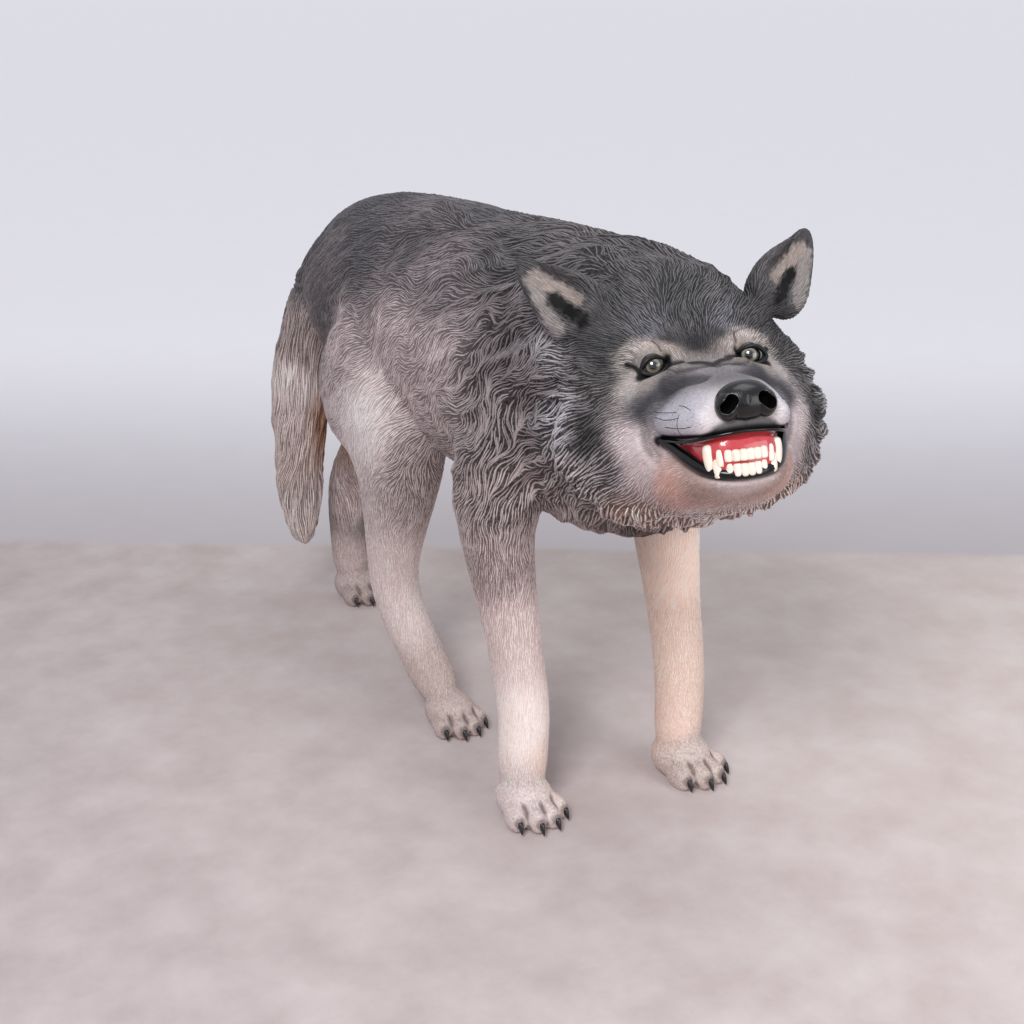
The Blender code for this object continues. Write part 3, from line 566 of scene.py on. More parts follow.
# How the carved coat lies, on the body and then in the head's frame, for both sides unless a side is named:
# place, the way the hair runs, then a lock's length, width and height in millimetres and its wave in degrees
COAT_BODY = [
    ((0.00, -0.30, 0.80), (0.0, 1.0, -0.05), (30, 4.4, 1.7, 35)),
    ((0.00, -0.05, 0.81), (0.0, 1.0, 0.00), (28, 3.6, 1.3, 30)),
    ((0.00, 0.20, 0.80), (0.0, 1.0, -0.05), (26, 3.4, 1.1, 25)),
    ((0.00, 0.38, 0.74), (0.0, 0.75, -0.65), (28, 3.4, 1.1, 20)),
    ((0.11, -0.10, 0.75), (0.15, 0.95, -0.30), (26, 3.6, 1.3, 40)),
    ((0.11, 0.15, 0.73), (0.10, 0.90, -0.40), (24, 3.4, 1.2, 35)),
    ((0.10, 0.32, 0.68), (0.10, 0.70, -0.70), (24, 3.4, 1.1, 30)),
    ((0.14, -0.05, 0.60), (0.0, 0.75, -0.65), (20, 3.2, 1.1, 45)),
    ((0.13, 0.10, 0.58), (0.0, 0.70, -0.70), (20, 3.2, 1.0, 40)),
    ((0.12, 0.00, 0.47), (0.0, 0.75, -0.60), (18, 3.0, 1.0, 40)),
    ((0.00, 0.00, 0.41), (0.0, 1.0, -0.10), (20, 3.2, 1.0, 30)),
    ((0.12, 0.25, 0.55), (0.0, 0.50, -0.85), (20, 3.0, 1.0, 30)),
    ((0.10, 0.12, 0.47), (0.0, 0.25, -0.97), (16, 2.8, 0.8, 25)),
    ((0.10, 0.35, 0.45), (0.0, 0.30, -0.95), (18, 2.8, 0.9, 20)),
    ((0.03, 0.44, 0.60), (0.1, 0.20, -1.00), (22, 3.0, 1.0, 20)),
    ((0.15, -0.20, 0.68), (0.05, 0.70, -0.70), (32, 4.4, 2.4, 60)),
    ((0.16, -0.25, 0.55), (0.0, 0.40, -0.92), (32, 4.6, 2.6, 60)),
    ((0.14, -0.32, 0.70), (0.10, 0.70, -0.70), (34, 4.6, 2.6, 65)),
    ((0.10, -0.30, 0.78), (0.15, 0.95, -0.20), (34, 5.0, 2.2, 45)),
    ((0.15, -0.38, 0.60), (0.20, 0.45, -0.88), (34, 4.8, 2.8, 60)),
    ((0.12, -0.36, 0.48), (0.20, 0.45, -0.90), (32, 5.0, 2.5, 35)),
    ((0.00, -0.40, 0.44), (0.0, 0.50, -0.90), (30, 4.8, 2.4, 25)),
    ((0.00, -0.20, 0.40), (0.0, 0.90, -0.40), (28, 4.0, 1.6, 30)),
    ((0.13, -0.22, 0.45), (0.0, 0.20, -1.00), (24, 3.8, 1.6, 35)),
    ((0.13, -0.20, 0.36), (0.0, -0.05, -1.00), (16, 2.8, 0.8, 20)),
    ((0.13, -0.24, 0.20), (0.0, 0.0, -1.00), (14, 2.5, 0.6, 15)),
    ((0.13, -0.25, 0.08), (0.0, -0.10, -1.00), (12, 2.3, 0.5, 12)),
    ((0.13, -0.29, 0.04), (0.0, -0.70, -0.70), (9, 2.0, 0.3, 8)),
    ((0.09, 0.14, 0.25), (0.0, 0.05, -1.00), (14, 2.5, 0.6, 15)),
    ((0.07, 0.07, 0.10), (0.0, -0.20, -1.00), (12, 2.3, 0.5, 12)),
    ((0.062, 0.00, 0.04), (0.0, -0.70, -0.70), (9, 2.0, 0.3, 8)),
    ((0.085, 0.50, 0.30), (0.0, 0.30, -1.00), (14, 2.5, 0.6, 15)),
    ((0.086, 0.54, 0.12), (0.0, 0.0, -1.00), (12, 2.3, 0.5, 12)),
    ((0.086, 0.49, 0.04), (0.0, -0.70, -0.70), (9, 2.0, 0.3, 8)),
    ((0.0, 0.45, 0.66), (0.0, 0.60, -0.80), (45, 4.0, 1.7, 12)),
    ((0.0, 0.53, 0.50), (0.0, 0.10, -1.00), (55, 4.2, 1.8, 12)),
    ((-0.02, 0.53, 0.30), (0.0, 0.0, -1.00), (55, 4.2, 1.8, 12)),
    ((-0.03, 0.51, 0.20), (0.0, -0.25, -1.00), (40, 3.6, 1.4, 10)),
]
COAT_HEAD = [
    ((0.0, -0.13, -0.03), (0.0, 1.0, 0.25), (6, 1.5, 0.20, 5)),
    ((0.05, -0.11, -0.06), (0.1, 1.0, -0.10), (6, 1.5, 0.18, 5)),
    ((0.0, -0.04, -0.01), (0.0, 1.0, 0.30), (7, 1.7, 0.25, 8)),
    ((0.0, 0.00, 0.015), (0.15, 0.8, 0.60), (11, 2.4, 0.7, 12)),
    ((0.0, 0.04, 0.05), (0.10, 0.85, 0.50), (14, 3.0, 1.2, 34)),
    ((0.0, 0.09, 0.09), (0.0, 1.0, 0.20), (16, 3.2, 1.3, 30)),
    ((0.05, 0.02, 0.025), (0.45, 0.70, 0.50), (10, 2.2, 0.6, 12)),
    ((0.05, 0.05, 0.06), (0.35, 0.90, 0.35), (14, 3.0, 1.2, 34)),
    ((0.09, 0.03, 0.01), (0.75, 0.65, 0.15), (13, 2.6, 0.9, 15)),
    ((0.08, -0.01, -0.03), (0.55, 0.80, -0.10), (8, 1.8, 0.3, 8)),
    ((0.10, 0.01, -0.06), (0.50, 0.85, -0.25), (16, 3.0, 1.2, 25)),
    ((0.085, -0.03, -0.10), (0.35, 0.90, -0.30), (10, 2.2, 0.35, 10)),
    ((0.10, 0.00, -0.14), (0.45, 0.75, -0.50), (14, 2.8, 0.9, 15)),
    ((0.05, -0.05, -0.165), (0.20, 0.85, -0.45), (12, 2.4, 0.6, 12)),
    ((0.0, -0.12, -0.15), (0.0, 0.95, -0.30), (8, 2.0, 0.3, 8)),
    ((0.13, 0.04, -0.04), (0.80, 0.60, -0.10), (26, 4.0, 2.2, 25)),
    ((0.17, 0.08, -0.07), (0.85, 0.50, -0.30), (38, 6.0, 3.9, 28)),
    ((0.135, 0.03, -0.11), (0.65, 0.55, -0.50), (30, 4.8, 2.8, 28)),
    ((0.14, 0.07, -0.15), (0.65, 0.30, -0.70), (38, 6.0, 3.9, 28)),
    ((0.08, 0.04, -0.18), (0.35, 0.30, -0.88), (34, 6.0, 3.7, 25)),
    ((0.0, 0.03, -0.19), (0.0, 0.40, -0.92), (32, 5.8, 3.5, 22)),
    ((0.15, 0.09, 0.02), (0.80, 0.60, 0.10), (20, 3.6, 1.6, 25)),
    ((0.15, 0.10, 0.10), (0.62, 0.38, 0.70), (12, 2.0, 0.5, 6)),
    ((0.12, 0.07, 0.06), (0.60, 0.40, 0.65), (13, 2.1, 0.6, 8)),
]

# How the coat is painted, as screen colours from 0 to 255: place, crests of the locks, grooves between them
PAINT_BODY = [
    ((0.00, -0.30, 0.80), (114, 111, 115), (42, 40, 43)),
    ((0.00, 0.00, 0.81), (115, 112, 116), (55, 52, 55)),
    ((0.00, 0.25, 0.80), (114, 112, 117), (58, 56, 60)),
    ((0.00, 0.41, 0.71), (114, 112, 117), (56, 55, 60)),
    ((0.10, 0.05, 0.75), (120, 115, 119), (58, 55, 58)),
    ((0.12, -0.05, 0.70), (150, 139, 143), (74, 66, 70)),
    ((0.145, -0.06, 0.64), (204, 188, 190), (116, 103, 106)),
    ((0.14, 0.03, 0.64), (206, 190, 192), (120, 107, 110)),
    ((0.13, 0.00, 0.53), (212, 196, 198), (122, 108, 111)),
    ((0.11, -0.05, 0.48), (202, 190, 190), (112, 100, 100)),
    ((0.10, 0.19, 0.72), (120, 116, 121), (60, 58, 62)),
    ((0.11, 0.28, 0.62), (128, 122, 126), (64, 60, 64)),
    ((0.15, 0.11, 0.49), (232, 219, 220), (170, 156, 157)),
    ((0.14, 0.07, 0.42), (226, 210, 209), (156, 140, 140)),
    ((0.12, 0.20, 0.58), (204, 188, 190), (116, 103, 106)),
    ((0.10, 0.03, 0.44), (196, 180, 180), (104, 92, 92)),
    ((0.108, 0.02, 0.724), (164, 152, 156), (82, 74, 78)),
    ((-0.049, 0.497, 0.44), (228, 213, 211), (146, 132, 130)),
    ((0.055, 0.534, 0.078), (206, 190, 187), (140, 122, 120)),
    ((0.00, 0.00, 0.41), (204, 192, 184), (120, 108, 104)),
    ((0.158, -0.23, 0.57), (172, 158, 160), (44, 38, 40)),
    ((0.14, -0.22, 0.69), (138, 128, 132), (38, 34, 36)),
    ((0.15, -0.32, 0.65), (144, 132, 135), (36, 31, 33)),
    ((0.07, -0.13, 0.77), (118, 114, 117), (48, 46, 48)),
    ((0.06, -0.32, 0.79), (120, 116, 119), (40, 38, 41)),
    ((0.15, -0.23, 0.47), (190, 174, 174), (64, 55, 56)),
    ((0.08, -0.28, 0.44), (152, 136, 136), (46, 38, 39)),
    # The chest under the neck, between the fore legs, is painted dark: partly its own paint, partly painted
    # shade
    ((0.00, -0.40, 0.44), (112, 94, 92), (34, 27, 25)),
    ((-0.146, -0.225, 0.38), (192, 176, 176), (108, 91, 89)),
    ((-0.132, -0.24, 0.265), (220, 203, 201), (166, 146, 142)),
    ((-0.137, -0.257, 0.136), (228, 217, 215), (194, 178, 171)),
    ((-0.15, -0.28, 0.04), (226, 211, 208), (148, 131, 129)),
    # The next three rows, the top of the left fore leg, are painted lighter than the leg's own paint: painted
    # light where the head and neck shade it
    ((0.135, -0.23, 0.43), (240, 216, 202), (176, 150, 136)),
    ((0.115, -0.25, 0.39), (248, 224, 210), (200, 174, 160)),
    ((0.118, -0.274, 0.33), (252, 230, 214), (226, 198, 182)),
    ((0.112, -0.288, 0.21), (238, 213, 200), (188, 160, 147)),
    ((0.10, -0.30, 0.09), (234, 206, 193), (182, 154, 142)),
    ((0.107, -0.33, 0.04), (222, 205, 198), (132, 114, 111)),
    ((-0.09, 0.10, 0.21), (222, 208, 206), (166, 150, 146)),
    ((-0.068, 0.02, 0.06), (208, 191, 186), (140, 124, 120)),
    ((0.07, 0.51, 0.20), (214, 198, 196), (136, 120, 118)),
    ((0.11, 0.55, 0.15), (124, 114, 114), (60, 52, 52)),
    ((0.086, 0.49, 0.04), (196, 180, 176), (120, 104, 100)),
    ((0.0, 0.47, 0.64), (126, 123, 127), (62, 60, 64)),
    ((0.0, 0.57, 0.50), (140, 136, 138), (70, 66, 70)),
    ((-0.045, 0.49, 0.50), (190, 175, 172), (104, 92, 92)),
    ((-0.055, 0.50, 0.36), (214, 198, 195), (122, 108, 106)),
    ((-0.040, 0.49, 0.20), (212, 198, 194), (118, 104, 100)),
    ((0.02, 0.50, 0.36), (188, 146, 120), (104, 70, 50)),
]
PAINT_HEAD = [
    ((0.0, 0.06, 0.085), (110, 109, 113), (40, 39, 41)),
    ((0.01, 0.045, 0.05), (106, 104, 108), (32, 32, 33)),
    ((0.0, 0.012, 0.024), (58, 57, 60), (24, 24, 25)),
    ((0.042, 0.032, 0.040), (136, 134, 143), (60, 58, 64)),
    ((0.060, 0.018, 0.018), (204, 193, 188), (126, 116, 112)),
    ((0.045, 0.006, 0.010), (196, 182, 174), (120, 108, 103)),
    ((0.074, 0.024, 0.018), (190, 181, 178), (108, 101, 98)),
    ((0.088, 0.022, 0.004), (180, 172, 168), (92, 86, 84)),
    ((0.083, -0.006, -0.018), (190, 181, 178), (118, 111, 109)),
    ((0.094, 0.000, -0.028), (186, 178, 175), (106, 100, 98)),
    ((0.066, -0.018, -0.022), (164, 154, 150), (104, 97, 94)),
    ((0.058, 0.040, 0.042), (118, 117, 124), (42, 41, 45)),
    ((0.085, 0.045, 0.030), (96, 94, 98), (38, 37, 39)),
    ((0.105, 0.038, 0.004), (92, 89, 92), (36, 35, 37)),
    ((0.106, 0.022, -0.014), (112, 107, 109), (46, 44, 45)),
    ((0.110, 0.060, 0.030), (88, 86, 90), (32, 31, 33)),
    ((0.080, 0.070, 0.070), (106, 104, 108), (34, 33, 35)),
    ((0.030, 0.020, 0.028), (84, 82, 86), (34, 33, 35)),
    ((0.085, -0.036, -0.048), (112, 109, 114), (50, 48, 53)),
    ((0.055, -0.052, -0.032), (92, 90, 95), (50, 49, 53)),
    ((0.054, -0.130, -0.063), (186, 183, 192), (154, 151, 160)),
    ((0.070, -0.090, -0.062), (180, 177, 187), (138, 134, 143)),
    ((0.012, -0.080, -0.020), (142, 137, 141), (100, 95, 99)),
    ((0.0, -0.120, -0.030), (136, 131, 133), (88, 84, 86)),
    ((0.038, -0.149, -0.074), (200, 193, 196), (170, 163, 165)),
    ((0.120, 0.020, -0.037), (128, 123, 126), (44, 43, 45)),
    ((0.138, 0.022, -0.080), (96, 93, 95), (36, 35, 37)),
    ((0.100, -0.020, -0.085), (216, 204, 206), (150, 137, 140)),
    ((0.092, -0.026, -0.120), (198, 184, 186), (150, 136, 138)),
    ((0.068, -0.062, -0.145), (200, 166, 157), (164, 128, 118)),
    ((0.043, -0.094, -0.153), (190, 166, 158), (136, 113, 106)),
    ((0.0, -0.135, -0.141), (212, 196, 195), (152, 138, 138)),
    ((0.157, 0.088, -0.055), (204, 201, 208), (48, 46, 51)),
    ((0.130, 0.010, -0.117), (164, 156, 160), (52, 47, 50)),
    ((0.150, 0.060, -0.125), (208, 199, 200), (60, 53, 54)),
    ((0.084, 0.036, -0.177), (232, 210, 202), (110, 86, 78)),
    ((0.024, -0.011, -0.182), (234, 217, 213), (124, 100, 94)),
    ((0.150, 0.110, 0.020), (176, 172, 176), (48, 46, 48)),
    ((0.150, 0.110, 0.100), (94, 91, 95), (38, 36, 38)),
]
SEED = 7
# Blending evens the colours out: gain and power that give crests and grooves their contrast back
CREST_CURVE = (1.50, 1.245)
GROOVE_CURVE = (1.60, 1.34)
# The share of their own hue that the colours keep
HUE_KEPT = 0.78
# Fineness of the dry brush's patches and how much they take off or add
COAT_GRAIN_SCALE = 260
COAT_PATCHINESS = 0.5
# How sharply the light paint keeps to a lock's crest, and how much one lock differs from the next
CREST_POWER = 2.4
LOCK_TONES = 0.15
# A lock keeps clear of its neighbours by these shares of its own length and width
CLEAR_ALONG = 0.46
CLEAR_ACROSS = 0.80
TRIES = 4.5
SUNK = 0.0005
# The coat swirls: sizes of the swirls and how strongly each turns the hair, for a wave of 1
SWIRLS = [(0.060, 1.5), (0.026, 1.1), (0.012, 0.5)]

# How far the nearest guide rules alone over its neighbours, for the coat's way and for its paint
COAT_REACH = 0.012
PAINT_REACH = 0.010
# Below this height a paint guide holds for its own side only, apart from the flank's
OWN_SIDE_LOW = 0.45
FLANK_SIDE = 0.10
# Rounds that even out the way of hair over the skin, and the share taken from the neighbours
LAY_ROUNDS = 12
LAY_SHARE = 0.5
# A lock keeps this share of its own way at each step, and turns to the skin's by the rest
OWN_WAY = 0.35
LENGTH_RANGE = (0.8, 1.2)
WIDTH_RANGE = (0.85, 1.15)
HEIGHT_RANGE = (0.75, 1.25)
# Half a lock's width as drawn, as a share of its guide's width
HALF_WIDTH = 0.56
# A lock's outline and its crest along its length: span of half a wave, its start, sharpness
SWELL = (0.94, 0.04, 0.6)
RISE = (0.92, 0.04, 0.8)
RISE_EARLY = 0.8
TONE_RANGE = (0.6, 1.5)
# The meshes of locks, with the pieces that a lock is long
LOCK_STEPS = [("fur_trunk", 3), ("fur_neck", 6), ("fur_legs", 2), ("fur_head", 3), ("fur_tail", 8)]
# The head's locks end at these distances in its own frame, the other zones in the figure's frame
HEAD_REAR = 0.13
HEAD_HALF = 0.24
HEAD_LOW = -0.24
TAIL_FRONT = 0.44
TAIL_MIDDLE = -0.01
TAIL_HALF = 0.075
TAIL_LOW = 0.10
TAIL_LEFT_EDGE = 0.045
LEGS_HIGH = 0.40
NECK_REAR = -0.13
# No lock starts this near the eyes, the nose and the lips, or in the mouth between these heights
EYE_BARE = 0.024
NOSE_BARE = 0.034
UPPER_LIP_BARE = 0.006
LOWER_LIP_BARE = 0.008
MOUTH_REAR = -0.06
MOUTH_HALF = 0.056
MOUTH_HEIGHTS = (-0.132, -0.09)
# How light the skin is painted under long locks and under short ones, from locks of these heights
BARE_CREST = 0.34
SHORT_CREST = 0.75
BARE_HEIGHTS = (0.0010, 0.0002)

# The head, back to this far behind the eyes and this near the ears, and the paws are cut finer
FACE_REAR = 0.050
FACE_EAR = 0.062
PAW_HIGH = 0.075

# Folds of the face that are both modelled and painted, in the head's frame; the paint darkens each fold,
# partly as its own paint and partly as painted shade in the crease
BROW_FOLD = [(0.061, 0.0246, 0.0258), (0.0507, 0.0227, 0.0245), (0.0465, 0.0132, 0.0189),
             (0.0449, 0.0037, 0.0113)]
SNOUT_FOLD = [(0.0480, -0.0300, -0.0130), (0.0409, -0.0395, -0.0151), (0.0234, -0.0480, -0.0127),
              (0.0, -0.0560, -0.0120)]
LOWER_SNOUT_FOLD = [(0.0500, -0.0370, -0.0180), (0.0409, -0.0500, -0.0190), (0.0234, -0.0620, -0.0160)]
CHEEK_FOLD = [(0.0865, -0.0394, -0.0779), (0.0862, -0.0382, -0.0881), (0.0840, -0.0393, -0.0975),
              (0.0806, -0.0409, -0.1047)]

# Finer modelling for the looks alone, in the head's frame and mirrored: points, reach, height
FINE_STROKES = [
    (BROW_FOLD, 0.0040, -0.0016),
    ([(0.0849, 0.0164, 0.0000), (0.0747, 0.0095, -0.0014)], 0.0035, -0.0012),
    ([(0.0442, -0.0004, 0.0052), (0.0400, -0.0140, -0.0070), (0.0271, -0.0240, -0.0050),
      (0.0170, -0.0400, -0.0053), (0.0, -0.0460, -0.0080)], 0.0055, -0.0036),
    (SNOUT_FOLD, 0.0045, -0.0026),
    (LOWER_SNOUT_FOLD, 0.0035, -0.0010),
    (CHEEK_FOLD, 0.0070, -0.0025),
    ([(0.0, -0.1530, -0.0720), (0.0, -0.1530, -0.0880)], 0.0035, -0.0016),
    ([(0.150, 0.108, 0.000), (0.172, 0.108, -0.060), (0.150, 0.105, -0.130), (0.100, 0.100, -0.180),
      (0.0, 0.095, -0.205)], 0.022, -0.0090),
]

# Paint drawn in lines on the face, mirrored: points, full width, faded width, screen colour, strength
INK = (16, 15, 16)
FACE_LINES = [
    ([(0.0221, -0.0899, -0.0278), (0.0321, -0.0717, -0.0272), (0.0443, -0.0598, -0.0300),
      (0.0546, -0.0530, -0.0342), (0.0630, -0.0475, -0.0388), (0.0750, -0.0430, -0.0430),
      (0.0885, -0.0400, -0.0540)], 0.003, 0.013, (58, 56, 62), 0.75),
    ([(0.0735, -0.0080, -0.0070), (0.0774, 0.0090, -0.0034), (0.0849, 0.0164, 0.0000)],
     0.0016, 0.0048, INK, 1.0),
    # This line, along the stop's crease, and the four folds below are painted darker: partly their own paint,
    # partly painted shade
    ([(0.0430, -0.0100, -0.0070), (0.0292, -0.0164, -0.0052), (0.0237, -0.0402, -0.0057),
      (0.0112, -0.0450, -0.0084), (0.0, -0.0500, -0.0120)], 0.0016, 0.0052, (34, 31, 33), 0.95),
    (SNOUT_FOLD, 0.0006, 0.0032, (62, 54, 54), 0.7),
    (LOWER_SNOUT_FOLD, 0.0005, 0.0030, (90, 82, 82), 0.6),
    (BROW_FOLD, 0.0006, 0.0024, (74, 60, 60), 0.8),
    (CHEEK_FOLD, 0.0008, 0.0060, (124, 112, 116), 0.6),
    ([(0.030, -0.1480, -0.0860), (0.016, -0.1530, -0.0790), (0.0, -0.1540, -0.0780)],
     0.0040, 0.0120, (44, 42, 44), 0.85),
]
# The painted rims of the eyes and of the mouth fade out over these distances
EYE_RIM = (0.0052, 0.0115)
LIP_RIM = (0.0030, 0.0085)
LINE_PIECES = 5
# The claws are worn to this share of their length
CLAW_WORN = 0.62
# Rings of a claw as shares of its length, and how narrow the last one is
CLAW_RINGS = (0.0, 0.35, 0.7, 0.95, 1.05)
CLAW_END = 0.35
# The mouth's red roof shows between the upper lip and the gums
MOUTH_ROOF = [(0.0540, -0.1010, -0.1010), (0.0470, -0.1190, -0.1000),
              (0.0330, -0.1370, -0.0970), (0.0160, -0.1450, -0.0950), (0.0, -0.1460, -0.0945)]
MOUTH_ROOF_FADE = (0.0055, 0.0080)
MOUTH_RED = (168, 46, 50)
# The ear: line of its hollow, painted black as painted shade, pale hair inside its upper edge, and how far
# each fades
EAR_SHADED_HOLLOW = [(0.121, 0.062, 0.060), (0.130, 0.070, 0.069), (0.140, 0.080, 0.079), (0.147, 0.086, 0.088)]
EAR_SHADED_HOLLOW_FADE = (0.0055, 0.0130)
# The edges of the ear's colours are ragged by this much, in patches of this fineness
EAR_NEAR = 0.06
EAR_RAGGED = 0.006
EAR_RAGGED_SCALE = 220
EAR_PALE = [(0.166, 0.096, 0.117), (0.152, 0.089, 0.106), (0.136, 0.080, 0.096), (0.122, 0.072, 0.084)]
EAR_PALE_FADE = (0.0050, 0.0130)
EAR_PALE_COLOUR = (176, 162, 156)
EAR_LOW = [(0.150, 0.075, 0.052), (0.158, 0.085, 0.072), (0.163, 0.091, 0.090), (0.170, 0.097, 0.112)]
EAR_LOW_FADE = (0.0060, 0.0130)
EAR_LOW_COLOUR = (158, 150, 148)
# The open side of the ear takes its colours, and its hole is this much darker in the grooves
EAR_OPEN = (-0.1, 0.35)
EAR_DEEPER = 0.35
# The painted part of the head: behind the eyes, to each side and down
PAINTED_HEAD = (0.16, 0.24, -0.2)
# Painted shade in the grooves between the toes and round the claws: share of the toes' spread, further back,
# height
TOE_LINE = [(1.06, -0.018, 0.006), (1.03, -0.006, 0.030), (0.90, 0.014, 0.040)]
TOE_LINE_STRENGTH = 0.8
CLAW_STRENGTH = 0.7
CLAW_BED = 0.85
TOE_LINE_FADE = (0.0012, 0.0060)
TOE_SHADE_COLOUR = (92, 80, 78)
CLAW_FADE = (0.0060, 0.0110)


# The studio: a line on the floor, the floor paint before it, and past it a paint that stands for
# the pale wall of the photograph, lit evenly, so that no wall hides the figure from its back and sides
WALL_LEFT = (-0.336, 1.181, 0.0)
WALL_RIGHT = (1.211, -0.105, 0.0)
WALL_COLOUR = (225, 224, 233)
# The wall's paint turns darker towards its foot, over the span of its fade: painted shade where wall and
# floor meet
WALL_FOOT_SHADE_COLOUR = (152, 143, 147)
WALL_BODY_COLOUR = (126, 126, 130)
WALL_EDGE = (-0.01, 0.03)
WALL_FOOT_SHADE_FADE = (-0.30, 1.60)
WALL_GLOW = 0.80
WALL_MOTTLING = 0.06
FLOOR_REACH = 30.0
FLOOR_COLOUR = (213, 200, 198)
# The floor is painted darker towards -x over this span of x: painted shade for lamp light that falls off
# across it
FLOOR_SHADED_LEFT_COLOUR = (189, 177, 178)
FLOOR_SHADE_FADE = (-0.9, 0.9)
FLOOR_MOTTLING = 0.35
WORLD_COLOUR = (230, 232, 236)
BACKDROP_COLOUR = (222, 223, 231)
WORLD_STRENGTH = 0.50
# Lamps: name, place, aim, size, watts
LAMPS = [
    ("key", (-2.4, -1.9, 2.9), (0.0, 0.0, 0.4), 1.2, 100),
    ("fill", (0.3, -3.4, 1.2), (0.0, -0.2, 0.4), 2.0, 34),
    ("top", (0.2, -0.6, 3.2), (0.0, 0.0, 0.4), 1.6, 22),
]
CAMERA_AT = (-1.359, -1.819, 1.217)
CAMERA_HEADING = 0.655
CAMERA_DOWN = 0.36
CAMERA_LENS = 57.34
CAMERA_SHIFT = -0.0098

# Where each eye looks, in the head's frame
GAZE_RIGHT = (-0.22, -0.97, 0.02)
GAZE_LEFT = (-0.26, -0.96, 0.02)
# Bands of the eye: angle from where it looks as a share of a right angle, screen colour
IRIS = [
    (0.000, (10, 9, 9)),
    (0.175, (10, 9, 9)),
    (0.220, (84, 79, 68)),
    (0.320, (146, 140, 124)),
    (0.390, (90, 85, 74)),
    (0.450, (18, 16, 16)),
    (1.000, (16, 14, 14)),
]
IRIS_GRAIN_SCALE = 900
IRIS_MOTTLING = 0.5
LID_PIECES = 4
LID_FULLNESS = 0.85
LID_DROOP = 1.00
UPPER_LIP_SIZES = (0.0020, 0.0018, 0.0017, 0.0018, 0.0020, 0.0022, 0.0022)
LOWER_LIP_SIZES = (0.0030, 0.0056, 0.0074, 0.0072, 0.0064, 0.0064)
UPPER_LIP_DROP = 0.0004
LOWER_LIP_RISE = 0.0028
LIP_PIECES = 6
NOSE_GROOVE = [(0.0, -0.021, 0.004), (0.0, -0.022, -0.010), (0.0, -0.012, -0.024)]
PLAIN_SPECULAR = 0.3
# Enamels: name, two shades, fineness of the mottling, roughness, clear coat, unevenness
ENAMELS = [
    ("black_gloss", (8, 7, 8), (4, 4, 4), 300, 0.22, 0.15, 0.10),
    ("gum_gloss", (206, 70, 76), (160, 44, 52), 120, 0.25, 0.9, 0.2),
    ("tooth_gloss", (246, 236, 224), (226, 208, 190), 160, 0.25, 0.6, 0.0),
    ("claw_gloss", (40, 36, 38), (20, 18, 20), 200, 0.30, 0.5, 0.1),
    ("lid_black", (7, 6, 7), (3, 3, 3), 400, 0.4, 0.0, 0.2),
]
NOSE_ENAMEL = ("nose_gloss", (9, 9, 10), (5, 5, 6), 700, 0.2, 0.0, 0.25)
# The nose's gloss in the open and inside the nostrils
NOSE_GLOSS = (("Roughness", 0.24, 0.9), ("Coat Weight", 0.25, 0.0), ("Specular IOR Level", 0.35, 0.05))
# Inside the nostrils the nose is painted a deeper black: painted shade in the hollows
NOSTRIL_SHADE_BLACK = (0.0008, 0.0008, 0.0008, 1)
NOSE_VOXEL = 0.0009
NOSE_ROUNDS = 5
NOSE_GROOVE_DEPTH = 0.0022
NOSE_GROOVE_REACH = 0.0030
# A cutting tooth and a fang from root to tip: share of the length, share of the half width
TOOTH_SHAPE = [(-0.25, 1.10), (0.2, 1.20), (0.6, 1.22), (0.92, 1.12), (1.0, 0.80)]
FANG_SHAPE = [(-0.15, 1.05), (0.2, 1.22), (0.6, 1.10), (0.88, 0.72), (1.0, 0.34)]
GUM_PROUD = 0.0010
# The nostril's comma seen from before the nose, how far it reaches and fades, how deep it goes
NOSTRIL = [(0.0180, -0.160, 0.0010), (0.0205, -0.160, -0.0020), (0.0245, -0.160, -0.0055)]
NOSTRIL_REACH = (0.0072, 0.0045)
NOSTRIL_DEPTH = 0.015
WHISKERS = [
    [(0.0750, -0.0560, -0.0560), (0.0673, -0.0800, -0.0590), (0.0600, -0.1010, -0.0600)],
    [(0.0740, -0.0620, -0.0640), (0.0680, -0.0850, -0.0680), (0.0590, -0.1110, -0.0675)],
    [(0.0700, -0.0850, -0.0740), (0.0625, -0.1139, -0.0770), (0.0540, -0.1330, -0.0760)],
    [(0.0600, -0.1000, -0.0500), (0.0555, -0.1130, -0.0530), (0.0500, -0.1270, -0.0600)],
    [(0.0580, -0.1090, -0.0640), (0.0590, -0.1090, -0.0740), (0.0570, -0.1060, -0.0840)],
    [(0.0598, -0.0805, -0.0490), (0.0595, -0.0820, -0.0492)],
    [(0.0486, -0.1164, -0.0485), (0.0484, -0.1176, -0.0487)],
    [(0.0640, -0.0960, -0.0620), (0.0638, -0.0972, -0.0623)],
    [(0.0511, -0.1370, -0.0625), (0.0508, -0.1380, -0.0628)],
    [(0.0478, -0.1449, -0.0737), (0.0475, -0.1460, -0.0740)],
    [(0.0560, -0.1270, -0.0690), (0.0557, -0.1281, -0.0694)],
    [(0.0660, -0.0980, -0.0830), (0.0658, -0.0992, -0.0833)],
]
WHISKER_RADIUS = 0.0004
WHISKER_RAISE = 0.0001


def screen_colour(values):
    """Linear colours from screen colours of 0 to 255."""
    values = np.asarray(values, float) / 255
    return np.where(values <= 0.04045, values / 12.92, ((values + 0.055) / 1.055) ** 2.4)


def both_sides(rows, place=None):
    """Places and their values, mirrored to the other side, in the figure's frame."""
    spots, values = [], []
    for spot, *rest in rows:
        sides = (1,) if spot[0] == 0 else (1, -1)
        for side in sides:
            at = mirrored(spot, side)
            spots.append(np.array(place @ at if place else at))
            values.append([side] + rest)
    return spots, values


def blended(points, spots, values, reach):
    """Values at the points, each blended from those of its nearest spots."""
    total = np.zeros((len(points), len(values[0])))
    weights = np.zeros(len(points))
    for spot, value in zip(spots, values):
        weight = (((points - spot) ** 2).sum(axis=1) + reach * reach) ** -2
        total += weight[:, None] * np.array(value)
        weights += weight
    return total / weights[:, None]


